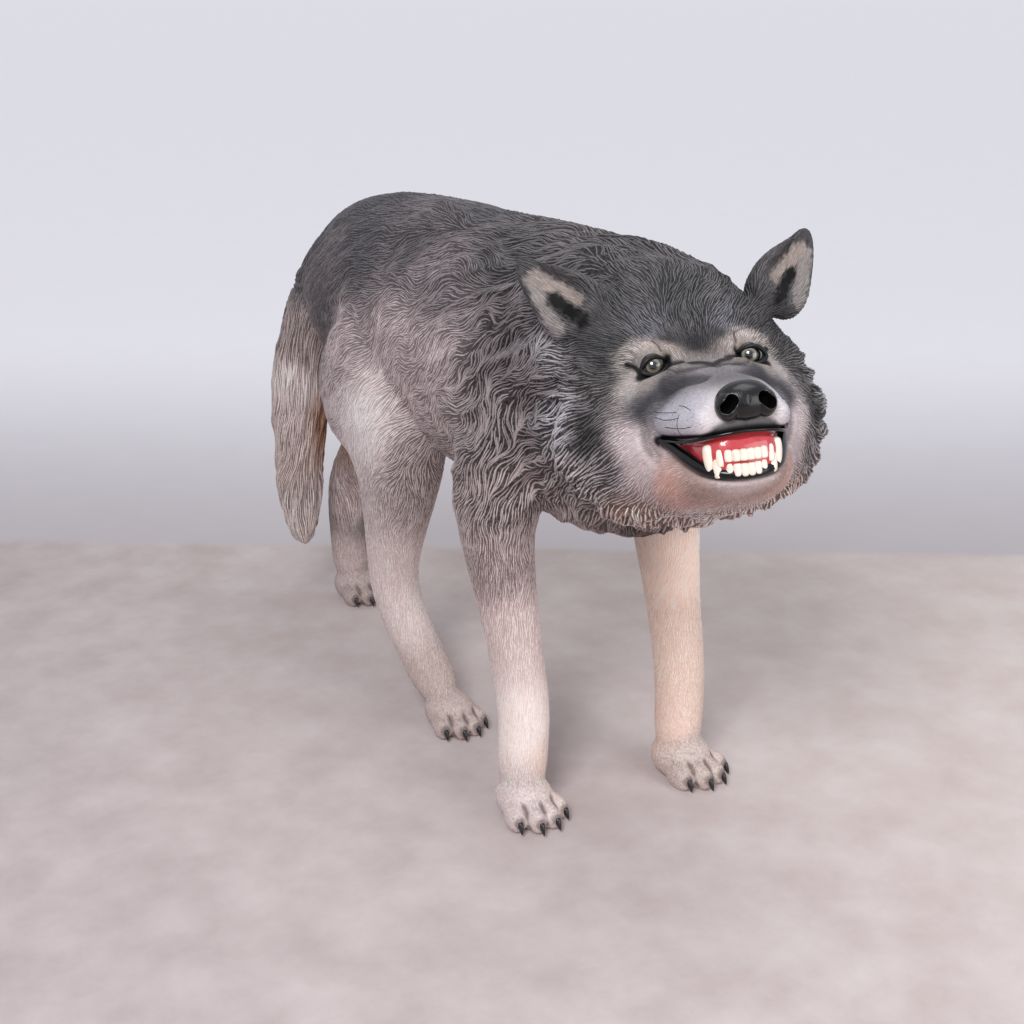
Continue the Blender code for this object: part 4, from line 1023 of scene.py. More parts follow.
def coat_at(points):
    """The way the hair runs at each point, and a lock's length, width, height and wave."""
    place = head_matrix()
    turn = place.to_3x3()
    spots, values = [], []
    for rows, frame_at in ((COAT_BODY, None), (COAT_HEAD, place)):
        at, found = both_sides(rows, frame_at)
        for spot, (side, way, size) in zip(at, found):
            way = mirrored(way, side).normalized()
            spots.append(spot)
            values.append([*(turn @ way if frame_at else way), *size])
    mixed = blended(points, spots, values, COAT_REACH)
    return mixed[:, :3], mixed[:, 3:] * (0.001, 0.001, 0.001, math.pi / 180)


def paint_at(points, normals, surface):
    """The colours of the crests and of the grooves at each point."""
    place = head_matrix()
    spots, values = [], []
    for rows, frame_at in ((PAINT_BODY, None), (PAINT_HEAD, place)):
        for spot, light, dark in rows:
            own_side = frame_at is None and spot[2] < OWN_SIDE_LOW and abs(spot[0]) != FLANK_SIDE
            for side in (1,) if spot[0] == 0 or own_side else (1, -1):
                at = mirrored(spot, side)
                spots.append(np.array(frame_at @ at if frame_at else at))
                values.append([*screen_colour(light), *screen_colour(dark)])
    mixed = blended(points, spots, values, PAINT_REACH)
    crest = CREST_CURVE[0] * mixed[:, :3] ** CREST_CURVE[1]
    groove = GROOVE_CURVE[0] * mixed[:, 3:] ** GROOVE_CURVE[1]
    crest, groove = (greyed(colours, HUE_KEPT) for colours in (crest, groove))
    return lined(points, normals, crest, groove, surface)


def greyed(colours, share):
    """Colours that keep a share of their hue."""
    grey = colours.mean(axis=1)[:, None]
    return grey + (colours - grey) * share


def head_local(points):
    """Points in the head's frame."""
    inward = np.array(head_matrix().inverted())
    return points @ inward[:3, :3].T + inward[:3, 3]


def near_either(local, line):
    """Distance of the head's points from a line or from its mirror image."""
    other = [(-point[0], point[1], point[2]) for point in line]
    return np.minimum(near_line(local, line), near_line(local, other))


def brushed(light, dark, share, colour, deeper=0.7):
    """Both coats of paint turned towards a colour, by a share at each point."""
    share = share[:, None]
    target = screen_colour(colour)
    return light * (1 - share) + target * share, dark * (1 - share) + target * deeper * share


def lined(points, normals, light, dark, surface):
    """The lines, rims and patches painted on the face, the ears and the paws."""
    local = head_local(points)
    rear, half, bottom = PAINTED_HEAD
    picked = (local[:, 1] < rear) & (np.abs(local[:, 0]) < half) & (local[:, 2] > bottom)
    near, a, b = local[picked], light[picked], dark[picked]
    for line, full, faded, colour, strength in surface.lines:
        share = strength * smooth_step(faded, full, near_either(near, line))
        a, b = brushed(a, b, share, colour)
    facing = np.zeros(len(near))
    turn = np.array(head_matrix().to_3x3())
    for side in (-1, 1):
        face = turn @ np.array(mirrored(EAR_FACE, side).normalized())
        facing = np.where(near[:, 0] * side > 0, normals[picked] @ face, facing)
    facing = smooth_step(*EAR_OPEN, facing) * (near_either(near, EAR_LOW) < EAR_NEAR)
    ragged = np.zeros(len(near))
    for i in np.nonzero(facing)[0]:
        ragged[i] = EAR_RAGGED * noise.noise(Vector(near[i]) * EAR_RAGGED_SCALE)
    # On the ear's open side: a grey lower edge, pale hair, and the hollow painted black as painted shade
    for line, fade, colour in ((EAR_LOW, EAR_LOW_FADE, EAR_LOW_COLOUR),
                               (EAR_PALE, EAR_PALE_FADE, EAR_PALE_COLOUR), (EAR_SHADED_HOLLOW, EAR_SHADED_HOLLOW_FADE, INK)):
        share = facing * smooth_step(fade[1], fade[0], near_either(near, line) + ragged)
        a, b = brushed(a, b, share, colour, EAR_DEEPER)
    light, dark = light.copy(), dark.copy()
    light[picked], dark[picked] = a, b
    # The paws: painted shade darkens the grooves between the toes and the skin round each claw
    low = points[:, 2] < PAW_HIGH
    near, a, b = points[low], light[low], dark[low]
    for joints, _, turn, size in LEGS:
        place = paw_matrix(joints, turn, size)
        for one, two in zip(TOES, TOES[1:]):
            mid = (Vector(one) + Vector(two)) / 2
            line = [place @ Vector((mid.x * wide, mid.y + back, high)) for wide, back, high in TOE_LINE]
            share = TOE_LINE_STRENGTH * smooth_step(TOE_LINE_FADE[1], TOE_LINE_FADE[0], near_line(near, line))
            a, b = brushed(a, b, share, TOE_SHADE_COLOUR)
        for x, y in TOES:
            claw = place @ toe_matrix(x, y, 0) @ Vector((0, -TOE_RADII[1] * CLAW_BED, TOE_RADII[2]))
            share = CLAW_STRENGTH * smooth_step(CLAW_FADE[1], CLAW_FADE[0], near_line(near, [claw]))
            a, b = brushed(a, b, share, TOE_SHADE_COLOUR)
    light[low], dark[low] = a, b
    return light, dark


def unit(vectors):
    length = np.linalg.norm(vectors, axis=1)
    return vectors / np.maximum(length, 1e-9)[:, None]


class Surface:
    """The figure's fine skin, with its way of hair, sizes of locks and the lines painted on the face laid on
    it.
    """

    def __init__(self, obj):
        data = obj.data
        data.calc_loop_triangles()
        self.points = np.empty(len(data.vertices) * 3)
        data.vertices.foreach_get("co", self.points)
        self.points = self.points.reshape(-1, 3)
        self.normals = np.empty(len(data.vertices) * 3)
        data.vertices.foreach_get("normal", self.normals)
        self.normals = self.normals.reshape(-1, 3)
        self.faces = np.empty(len(data.loop_triangles) * 3, np.int64)
        data.loop_triangles.foreach_get("vertices", self.faces)
        self.faces = self.faces.reshape(-1, 3)
        way, self.sizes = coat_at(self.points)
        self.way = self.swirled(self.laid(way))
        self.tree = BVHTree.FromPolygons(self.points.tolist(), self.faces.tolist())
        self.face_way = unit(self.way[self.faces].mean(axis=1))
        self.face_normal = unit(self.normals[self.faces].mean(axis=1))
        rim = [tuple(EYE_AT + Vector((-x, -forward, up))) for x, up, forward in LIDS]
        drawn_lines = FACE_LINES + [
            (rim + rim[:1], *EYE_RIM, INK, 1.0),
            (UPPER_LIP, *LIP_RIM, INK, 1.0),
            (LOWER_LIP, *LIP_RIM, INK, 1.0),
            (MOUTH_ROOF, *MOUTH_ROOF_FADE, MOUTH_RED, 1.0),
        ]
        self.lines = [(self.on_skin(line), *paint) for line, *paint in drawn_lines]

    def on_skin(self, line):
        """A line of the head's frame laid on the skin, with points between its own."""
        place = head_matrix()
        inward = place.inverted()
        points = [self.tree.find_nearest(place @ point)[0] for point in smooth_line(line, LINE_PIECES)]
        return [tuple(inward @ point) for point in points]

    def laid(self, way):
        """The way of hair laid flat on the skin and evened out with its neighbours."""
        ends = np.concatenate([self.faces[:, [0, 1]], self.faces[:, [1, 2]], self.faces[:, [2, 0]]])
        count = len(self.points)
        for _ in range(LAY_ROUNDS):
            way = unit(way - (way * self.normals).sum(axis=1)[:, None] * self.normals)
            spread = np.empty_like(way)
            for axis in range(3):
                spread[:, axis] = np.bincount(ends[:, 0], way[ends[:, 1], axis], count)
                spread[:, axis] += np.bincount(ends[:, 1], way[ends[:, 0], axis], count)
            way = way + spread * LAY_SHARE
        return unit(way - (way * self.normals).sum(axis=1)[:, None] * self.normals)

    def swirled(self, way):
        """The way of hair turned in patches, so that neighbouring locks curl together."""
        turn = np.zeros(len(way))
        for size, share in SWIRLS:
            turn += share * np.array([noise.noise(Vector(p) / size) for p in self.points.tolist()])
        turn *= self.sizes[:, 3]
        aside = np.cross(self.normals, way)
        return way * np.cos(turn)[:, None] + aside * np.sin(turn)[:, None]


def wanted(surface, keep, rng):
    """Spots on the skin to start locks from, evenly spread and clear of each other."""
    corners = surface.points[surface.faces]
    first, second = corners[:, 1] - corners[:, 0], corners[:, 2] - corners[:, 0]
    area = np.linalg.norm(np.cross(first, second), axis=1) / 2
    sizes = surface.sizes[surface.faces].mean(axis=1)
    chosen = keep[surface.faces].mean(axis=1) > 0.5
    each = sizes[:, 0] * sizes[:, 1] * CLEAR_ALONG * CLEAR_ACROSS
    expected = area / each * TRIES * chosen
    count = rng.poisson(expected)
    face = np.repeat(np.arange(len(count)), count)
    rng.shuffle(face)
    u, v = rng.random(len(face)), rng.random(len(face))
    over = u + v > 1
    u[over], v[over] = 1 - u[over], 1 - v[over]
    at = corners[face, 0] + u[:, None] * (corners[face, 1] - corners[face, 0])
    at += v[:, None] * (corners[face, 2] - corners[face, 0])
    length, width = sizes[face, 0] * CLEAR_ALONG, sizes[face, 1] * CLEAR_ACROSS
    way = surface.face_way[face]
    tree = KDTree(len(at))
    for i, point in enumerate(at.tolist()):
        tree.insert(point, i)
    tree.balance()
    free = np.ones(len(at), bool)
    kept = []
    for i in range(len(at)):
        if not free[i]:
            continue
        kept.append(i)
        near = np.array([found[1] for found in tree.find_range(at[i], length[i])])
        away = at[near] - at[i]
        along = away @ way[i]
        across = np.sqrt(np.maximum((away * away).sum(axis=1) - along * along, 0))
        free[near[(along / length[i]) ** 2 + (across / width[i]) ** 2 < 1]] = False
    return at[kept], face[kept]


def drawn(surface, at, face, steps, rng):
    """Locks along the skin from their spots: points, normals and sideways at each step."""
    sizes = surface.sizes[surface.faces[face]].mean(axis=1)
    length = sizes[:, 0] * rng.uniform(*LENGTH_RANGE, len(at))
    here, index = at.copy(), face.copy()
    way = surface.face_way[index]
    normal = surface.face_normal[index]
    points, normals, sides = [], [], []
    for step in range(steps + 1):
        points.append(here.copy())
        normals.append(normal)
        sides.append(np.cross(normal, way))
        moved = here + way * (length / steps)[:, None]
        for i, point in enumerate(moved.tolist()):
            found = surface.tree.find_nearest(point)
            here[i] = found[0]
            index[i] = found[2]
        normal = unit(normal + 2 * surface.face_normal[index])
        way = unit(way * OWN_WAY + surface.face_way[index] * (1 - OWN_WAY))
        way = unit(way - (way * normal).sum(axis=1)[:, None] * normal)
    return np.array(points), np.array(normals), np.array(sides), sizes


def hump(share, span, start, sharpness):
    """Half a wave along a lock, which starts and ends a little above nothing."""
    return np.sin(math.pi * np.clip(share * span + start, 0, 1)) ** sharpness


def locks_mesh(name, surface, keep, steps, seed):
    """One mesh of carved locks, each a tapering ridge that lies along the skin."""
    rng = np.random.default_rng(seed)
    at, face = wanted(surface, keep, rng)
    points, normals, sides, sizes = drawn(surface, at, face, steps, rng)
    count = len(at)
    share = np.linspace(0, 1, steps + 1)
    swell = hump(share, *SWELL)
    rise = hump(share ** RISE_EARLY, *RISE)
    wide = sizes[:, 1] * rng.uniform(*WIDTH_RANGE, count) * HALF_WIDTH
    tall = sizes[:, 2] * rng.uniform(*HEIGHT_RANGE, count)
    half = (swell[:, None] * wide)[:, :, None]
    high = (rise[:, None] * tall)[:, :, None]
    sunk = np.minimum(SUNK, tall * 0.5)[None, :, None]
    rows = np.stack([points - sides * half - normals * sunk, points + normals * high,
                     points + sides * half - normals * sunk], axis=2)
    # rows: step, lock, across, axis
    across = 3
    verts = rows.transpose(1, 0, 2, 3).reshape(-1, 3)
    first = np.arange(count)[:, None, None] * (steps + 1) * across
    first = first + np.arange(steps)[None, :, None] * across + np.arange(across - 1)[None, None, :]
    quads = np.stack([first, first + 1, first + 1 + across, first + across], axis=-1).reshape(-1, 4)
    data = bpy.data.meshes.new(name)
    data.vertices.add(len(verts))
    data.vertices.foreach_set("co", verts.ravel())
    data.loops.add(len(quads) * 4)
    data.loops.foreach_set("vertex_index", quads.ravel().astype(np.int32))
    data.polygons.add(len(quads))
    data.polygons.foreach_set("loop_start", np.arange(0, len(quads) * 4, 4, dtype=np.int32))
    data.polygons.foreach_set("use_smooth", np.ones(len(quads), bool))
    data.update()
    data.validate()
    middle = points.transpose(1, 0, 2).reshape(-1, 3)
    light, dark = paint_at(middle, normals.transpose(1, 0, 2).reshape(-1, 3), surface)
    tone = np.repeat(rng.normal(1.0, LOCK_TONES, count).clip(*TONE_RANGE), steps + 1)[:, None]
    light = np.clip(light * tone, 0, 1)
    crest = np.tile([0.0, 1.0, 0.0], count * (steps + 1))
    add_colour(data, "light", np.repeat(light, across, axis=0))
    add_colour(data, "dark", np.repeat(dark, across, axis=0))
    add_value(data, "crest", crest)
    print("LOCKS", name, count, "locks", len(quads) * 2, "triangles")
    return new_object(name, data)


def add_colour(data, name, values):
    layer = data.attributes.new(name, "FLOAT_COLOR", "POINT")
    layer.data.foreach_set("color", np.column_stack([values, np.ones(len(values))]).ravel())


def add_value(data, name, values):
    layer = data.attributes.new(name, "FLOAT", "POINT")
    layer.data.foreach_set("value", values)


def shaped(body):
    """The run-together body with its modelling, as points moved in place."""
    data = body.data
    points = np.empty(len(data.vertices) * 3)
    normals = np.empty(len(data.vertices) * 3)
    data.vertices.foreach_get("co", points)
    data.vertices.foreach_get("normal", normals)
    points, normals = points.reshape(-1, 3), normals.reshape(-1, 3)
    local = head_local(points)
    height = np.zeros(len(points))
    for line, reach, high in FINE_STROKES:
        height += high * smooth_step(reach, 0.0, near_either(local, line))
    points = modelled(points, normals) + normals * height[:, None]
    points[:, 2] = np.maximum(points[:, 2], 0.0)
    data.vertices.foreach_set("co", points.ravel())
    data.update()


def coordinates(data):
    points = np.empty(len(data.vertices) * 3)
    data.vertices.foreach_get("co", points)
    return points.reshape(-1, 3)


def rough_skin():
    """The figure's masses run together and softened, before they are modelled."""
    body = joined(masses())
    run = body.modifiers.new("run_together", "REMESH")
    run.mode = "VOXEL"
    run.voxel_size = VOXEL
    soft = body.modifiers.new("relax", "SMOOTH")
    soft.factor = RELAX_FACTOR
    soft.iterations = RELAX_ROUNDS
    return applied(body)


def region(body, name, keep, subdivide):
    """Part of the body as a mesh of its own, cut finer if asked, then modelled."""
    mesh = bmesh.new()
    mesh.from_mesh(body.data)
    mesh.verts.ensure_lookup_table()
    spare = [face for face in mesh.faces if not any(keep[v.index] for v in face.verts)]
    bmesh.ops.delete(mesh, geom=spare, context="FACES")
    piece = finish(name, mesh)
    if subdivide:
        finer = piece.modifiers.new("finer", "SUBSURF")
        finer.levels = finer.render_levels = 1
        piece = applied(piece)
    shaped(piece)
    return piece


def thinned(body, triangles):
    """The body of quads with no more than so many triangles."""
    body.modifiers.new("thin", "DECIMATE").ratio = min(1.0, triangles / (len(body.data.polygons) * 2))
    return applied(body)


def near_head(points):
    """Whether each point lies on the finely cut head."""
    local = head_local(points)
    near = near_either(local, [tuple(EAR_BASE), tuple(EAR_TIP)]) < FACE_EAR
    return (near | (local[:, 1] < FACE_REAR)) & (points[:, 1] < 0) & (points[:, 2] > 0.4)


def nodes_of(material):
    material.use_nodes = True
    tree = material.node_tree
    return tree.nodes, tree.links, tree.nodes["Principled BSDF"]


def added(nodes, kind, inputs=None, **settings):
    """A new shader node with its settings, and with values in some of its inputs."""
    made = nodes.new("ShaderNode" + kind)
    for name, value in settings.items():
        setattr(made, name, value)
    for key, value in (inputs or {}).items():
        made.inputs[key].default_value = value
    return made


def math_node(nodes, links, operation, *values, clamp=False):
    """The result of one operation on sockets and numbers."""
    made = added(nodes, "Math", operation=operation, use_clamp=clamp)
    for slot, value in zip(made.inputs, values):
        if isinstance(value, (int, float)):
            slot.default_value = value
        else:
            links.new(value, slot)
    return made.outputs[0]


def mixed_colour(nodes, links, factor, first, second, blend="MIX"):
    """Two colours mixed by a factor, each one a socket or a value."""
    made = added(nodes, "Mix", data_type="RGBA", blend_type=blend)
    for key, value in (("Factor", factor), ("A", first), ("B", second)):
        if isinstance(value, bpy.types.NodeSocket):
            links.new(value, made.inputs[key])
        else:
            made.inputs[key].default_value = value
    return made.outputs["Result"]


def mottled(nodes, links, **inputs):
    """Noise over the object's own surface."""
    grain = added(nodes, "TexNoise", inputs)
    links.new(nodes.new("ShaderNodeTexCoord").outputs["Object"], grain.inputs["Vector"])
    return grain.outputs["Fac"]


def stored(nodes, name):
    """A value or colour that the mesh stores at each point."""
    return added(nodes, "Attribute", attribute_name=name).outputs


def opaque(values):
    """A node's colour from a screen colour."""
    return (*screen_colour(values), 1)


def set_inputs(shader, **values):
    for name, value in values.items():
        shader.inputs[name.replace("_", " ")].default_value = value


def coat_material():
    """Painted fur: dark in the grooves, dry-brushed light on the crests."""
    paint = bpy.data.materials.new("coat")
    nodes, links, shader = nodes_of(paint)
    grain = mottled(nodes, links, Scale=COAT_GRAIN_SCALE, Detail=3)
    patchy = math_node(nodes, links, "MULTIPLY_ADD", grain, COAT_PATCHINESS, -COAT_PATCHINESS / 2)
    sharp = math_node(nodes, links, "POWER", stored(nodes, "crest")["Fac"], CREST_POWER)
    height = math_node(nodes, links, "ADD", sharp, patchy, clamp=True)
    light, dark = stored(nodes, "light")["Color"], stored(nodes, "dark")["Color"]
    links.new(mixed_colour(nodes, links, height, dark, light), shader.inputs["Base Color"])
    set_inputs(shader, Roughness=0.6, Specular_IOR_Level=0.18)
    return paint


def plain_material(name, colour, second, scale, roughness, coat=0.0, bump=0.0):
    """Enamel of two close shades, mottled, with a little unevenness."""
    paint = bpy.data.materials.new(name)
    nodes, links, shader = nodes_of(paint)
    grain = mottled(nodes, links, Scale=scale)
    shades = mixed_colour(nodes, links, grain, opaque(colour), opaque(second))
    links.new(shades, shader.inputs["Base Color"])
    set_inputs(shader, Roughness=roughness, Specular_IOR_Level=PLAIN_SPECULAR)
    set_inputs(shader, Coat_Weight=coat, Coat_Roughness=0.06)
    if bump:
        uneven = added(nodes, "Bump", {"Strength": bump, "Distance": 0.001})
        links.new(grain, uneven.inputs["Height"])
        links.new(uneven.outputs["Normal"], shader.inputs["Normal"])
    return paint


def nose_material():
    """Black glossy nose leather, dull inside the nostrils and painted a deeper black there as painted shade.
    """
    paint = plain_material(*NOSE_ENAMEL)
    nodes, links, shader = nodes_of(paint)
    hollow = stored(nodes, "hollow")["Fac"]
    open_colour = shader.inputs["Base Color"].links[0].from_socket
    links.new(mixed_colour(nodes, links, hollow, open_colour, NOSTRIL_SHADE_BLACK), shader.inputs["Base Color"])
    for socket, open_value, hollow_value in NOSE_GLOSS:
        span = added(nodes, "MapRange", {"To Min": open_value, "To Max": hollow_value})
        links.new(hollow, span.inputs["Value"])
        links.new(span.outputs["Result"], shader.inputs[socket])
    return paint


def eye_material():
    """Glass eye: pupil, iris and dark surround by the angle from where the eye looks."""
    paint = bpy.data.materials.new("eye")
    nodes, links, shader = nodes_of(paint)
    ramp = nodes.new("ShaderNodeValToRGB")
    bands = ramp.color_ramp
    for i, (where, colour) in enumerate(IRIS):
        band = bands.elements[i] if i < 2 else bands.elements.new(where)
        band.position = where
        band.color = opaque(colour)
    links.new(stored(nodes, "angle")["Fac"], ramp.inputs["Fac"])
    grain = mottled(nodes, links, Scale=IRIS_GRAIN_SCALE)
    shade = mixed_colour(nodes, links, IRIS_MOTTLING, ramp.outputs["Color"], grain, "MULTIPLY")
    links.new(shade, shader.inputs["Base Color"])
    set_inputs(shader, Roughness=0.15, Coat_Weight=1.0, Coat_Roughness=0.02)
    return paint


def fine_tube(name, rings, place=Matrix(), **shape):
    return applied(tube(name, rings, place, **shape))


def eyes(place):
    """Both eyeballs, each with the angle of every point from where it looks."""
    made = []
    for side, gaze in ((-1, GAZE_RIGHT), (1, GAZE_LEFT)):
        at = mirrored(EYE_AT, side)
        eyeball = ball("eye_left" if side > 0 else "eye_right", at, (EYE_RADIUS,) * 3, place, 64, 48)
        centre = np.array(place @ at)
        look = np.array(place.to_3x3() @ Vector(gaze).normalized())
        away = unit(coordinates(eyeball.data) - centre)
        add_value(eyeball.data, "angle", np.degrees(np.arccos(np.clip(away @ look, -1, 1))) / 90)
        made.append(eyeball)
    return made


def bead(name, points, sizes, place, closed=False):
    """A round bead along points, with its own radius at each."""
    curve = bpy.data.curves.new(name, "CURVE")
    curve.dimensions = "3D"
    curve.bevel_depth = 1.0
    curve.bevel_resolution = BEAD_ROUNDING
    curve.use_fill_caps = True
    spline = curve.splines.new("POLY")
    spline.points.add(len(points) - 1)
    for slot, point, size in zip(spline.points, points, sizes):
        slot.co = (*(place @ Vector(point)), 1.0)
        slot.radius = size
    spline.use_cyclic_u = closed
    made = applied(new_object(name, curve))
    made.data.shade_smooth()
    return made


def lids(place):
    made = []
    for side in (-1, 1):
        rim = [mirrored(EYE_AT + Vector((-x, -forward, up * (LID_DROOP if up > 0 else 1))), side)
               for x, up, forward in LIDS]
        line = smooth_line(rim[-2:] + rim + rim[:2], LID_PIECES)[LID_PIECES * 2:-LID_PIECES - 1]
        made.append(bead("lids", line, [LID_RADIUS * LID_FULLNESS] * len(line), place, closed=True))
    return joined(made)


def lip(name, half, sizes, place):
    """A lip's bead from one corner of the mouth to the other, thicker towards its middle."""
    line = [mirrored(p, -1) for p in half] + [mirrored(p, 1) for p in reversed(half[:-1])]
    width = list(sizes) + list(reversed(sizes[:-1]))
    smooth = smooth_line(line, LIP_PIECES)
    share = np.linspace(0, len(line) - 1, len(smooth))
    return bead(name, smooth, np.interp(share, range(len(line)), width), place)


def melted(obj, voxel, rounds):
    """The object's lumps run together and softened."""
    obj.modifiers.new("run_together", "REMESH").voxel_size = voxel
    soft = obj.modifiers.new("relax", "SMOOTH")
    soft.factor = 0.5
    soft.iterations = rounds
    obj = applied(obj)
    obj.data.shade_smooth()
    return obj


def nose(place):
    """The nose pad with its wings, nostrils and middle groove."""
    lumps = [ball("nose", NOSE_AT, NOSE_RADII, place, 32, 20)]
    for side in (-1, 1):
        lumps.append(ball("wing", NOSE_AT + mirrored(WING_AT, side), WING_RADII, place, 24, 16))
    pad = melted(joined(lumps), NOSE_VOXEL, NOSE_ROUNDS)
    points = coordinates(pad.data)
    local = head_local(points)
    groove = near_line(local, [tuple(NOSE_AT + Vector(p)) for p in NOSE_GROOVE])
    local[:, 1] += NOSE_GROOVE_DEPTH * smooth_step(NOSE_GROOVE_REACH, 0.0, groove)
    level = np.full(len(local), NOSTRIL[0][1])
    seen = np.column_stack([local[:, 0] - NOSE_AT.x, level, local[:, 2] - NOSE_AT.z])
    hollow = smooth_step(*NOSTRIL_REACH, near_either(seen, NOSTRIL)) * (local[:, 1] < NOSE_AT.y)
    local[:, 1] += NOSTRIL_DEPTH * hollow
    add_value(pad.data, "hollow", hollow)
    turn = np.array(place)
    pad.data.vertices.foreach_set("co", (local @ turn[:3, :3].T + turn[:3, 3]).ravel())
    pad.data.update()
    return pad


def teeth(place):
    """Every tooth, a rounded peg that narrows to its tip."""
    made = []
    for rows, way in ((UPPER_TEETH, -1), (LOWER_TEETH, 1)):
        for x, y, root, tall, wide in rows:
            shape = FANG_SHAPE if x == rows[-1][0] else TOOTH_SHAPE
            for side in (-1, 1):
                rings = [((x * side, y, root + way * tall * share), wide * size, wide * size, wide * size)
                         for share, size in shape]
                made.append(tube("tooth", rings, place, sides=8))
    return joined(made)


def claws():
    """The claws of every paw, each a short bent horn."""
    made = []
    for joints, _, turn, size in LEGS:
        for x, y in TOES:
            place = paw_matrix(joints, turn, size) @ toe_matrix(x, y, 0)
            rings = []
            for share in CLAW_RINGS:
                ahead = -TOE_RADII[1] * CLAW_START - CLAW_LENGTH * CLAW_WORN * share
                high = TOE_RADII[2] * (CLAW_RAISE - CLAW_DROP * share ** CLAW_BEND)
                wide = CLAW_RADIUS * max(1.0 - CLAW_TAPER * share ** 2, 0.1) * (CLAW_END if share > 1 else 1)
                rings.append(((0, ahead, high), wide, wide * CLAW_DEPTH, wide * CLAW_DEPTH))
            made.append(tube("claw", rings, place, sides=CLAW_SIDES, levels=1))
    return joined(made)


def gums(place):
    """The red gums behind the teeth, a touch outside the skin that they lie in."""
    rows = [(y, mid, half + GUM_PROUD, top, low) for y, mid, half, top, low in GUMS]
    rows[-1] = (rows[-1][0] - GUM_PROUD, *rows[-1][1:])
    return fine_tube("gums", lengthwise(rows), place, square=FACE_SQUARE)


def whiskers(place, surface):
    """Thin dark hairs painted on the muzzle, laid on it as fine raised lines."""
    made = []
    for line in WHISKERS:
        for side in (-1, 1):
            points = []
            for point in smooth_line([mirrored(p, side) for p in line], LINE_PIECES):
                at, normal, _, _ = surface.tree.find_nearest(place @ point)
                points.append(at + normal * WHISKER_RAISE)
            made.append(bead("whisker", points, [WHISKER_RADIUS] * len(points), Matrix()))
    return joined(made)


def eased(nodes, links, value, places):
    """0 before the first place of a value, 1 past the second, and smooth between."""
    rise = added(nodes, "MapRange", {"From Min": places[0], "From Max": places[1]},
                 interpolation_type="SMOOTHSTEP")
    links.new(value, rise.inputs["Value"])
    return rise.outputs["Result"]


def two_tone(nodes, links, value, low_colour, high_colour, places, mottling):
    """Paint that turns from one colour to another between two places of a value, faintly mottled."""
    factor = eased(nodes, links, value, places)
    tones = mixed_colour(nodes, links, factor, opaque(low_colour), opaque(high_colour))
    grain = mottled(nodes, links, Scale=9.0, Detail=12, Roughness=0.62)
    return mixed_colour(nodes, links, mottling, tones, grain, "OVERLAY")


def backdrop_ray(nodes, links):
    """1 for the rays that show the backdrop: the camera's own, reflected and passed through glass."""
    path = nodes.new("ShaderNodeLightPath").outputs
    seen = math_node(nodes, links, "MAXIMUM", path["Is Camera Ray"], path["Is Glossy Ray"])
    return math_node(nodes, links, "MAXIMUM", seen, path["Is Transmission Ray"])


def studio_material():
    """Floor paint before the wall's line, and the wall's pale paint past it."""
    paint = bpy.data.materials.new("floor_paint")
    nodes, links, shader = nodes_of(paint)
    place = nodes.new("ShaderNodeTexCoord").outputs["Object"]
    split = nodes.new("ShaderNodeSeparateXYZ")
    links.new(place, split.inputs[0])
    along = (Vector(WALL_RIGHT) - Vector(WALL_LEFT)).normalized()
    away = Vector((-along.y, along.x, 0))
    reach = added(nodes, "VectorMath", {1: away}, operation="DOT_PRODUCT")
    links.new(place, reach.inputs[0])
    line_at = away.dot(Vector(WALL_LEFT) + SHIFT)
    beyond = math_node(nodes, links, "SUBTRACT", reach.outputs["Value"], line_at)
    past = eased(nodes, links, beyond, WALL_EDGE)
    # Floor paint darker towards -x: painted shade
    ground = two_tone(nodes, links, split.outputs["X"], FLOOR_SHADED_LEFT_COLOUR, FLOOR_COLOUR, FLOOR_SHADE_FADE,
                      FLOOR_MOTTLING)
    # Wall paint darker towards its foot: painted shade
    wall = two_tone(nodes, links, beyond, WALL_FOOT_SHADE_COLOUR, WALL_COLOUR, WALL_FOOT_SHADE_FADE, WALL_MOTTLING)
    body = mixed_colour(nodes, links, past, ground, opaque(WALL_BODY_COLOUR))
    links.new(body, shader.inputs["Base Color"])
    glow = math_node(nodes, links, "MULTIPLY", past, backdrop_ray(nodes, links))
    links.new(wall, shader.inputs["Emission Color"])
    links.new(math_node(nodes, links, "MULTIPLY", glow, WALL_GLOW), shader.inputs["Emission Strength"])
    set_inputs(shader, Roughness=0.85, Specular_IOR_Level=0.2)
    return paint


def sheet(name, corners, paint):
    """A flat sheet of the studio."""
    data = bpy.data.meshes.new(name)
    data.from_pydata(corners, [], [(0, 1, 2, 3)])
    made = new_object(name, data)
    made.data.materials.append(paint)


def studio_world():
    """Plain light from all round, with the pale backdrop where the camera looks past the floor."""
    world = bpy.data.worlds.new("studio")
    world.use_nodes = True
    nodes, links = world.node_tree.nodes, world.node_tree.links
    sky = nodes["Background"]
    set_inputs(sky, Color=opaque(WORLD_COLOUR), Strength=WORLD_STRENGTH)
    drop = added(nodes, "Background", {"Color": opaque(BACKDROP_COLOUR)})
    choose = nodes.new("ShaderNodeMixShader")
    links.new(backdrop_ray(nodes, links), choose.inputs["Fac"])
    links.new(sky.outputs[0], choose.inputs[1])
    links.new(drop.outputs[0], choose.inputs[2])
    links.new(choose.outputs[0], nodes["World Output"].inputs["Surface"])
    bpy.context.scene.world = world


def lamp(name, at, aim, size, energy):
    """A soft square lamp that shines from one point towards another."""
    light = bpy.data.lights.new(name, "AREA")
    light.energy = energy
    light.size = size
    made = new_object(name, light)
    made.location = Vector(at)
    made.rotation_mode = "QUATERNION"
    made.rotation_quaternion = (Vector(aim) - made.location).to_track_quat("-Z", "Y")
    made.visible_camera = False


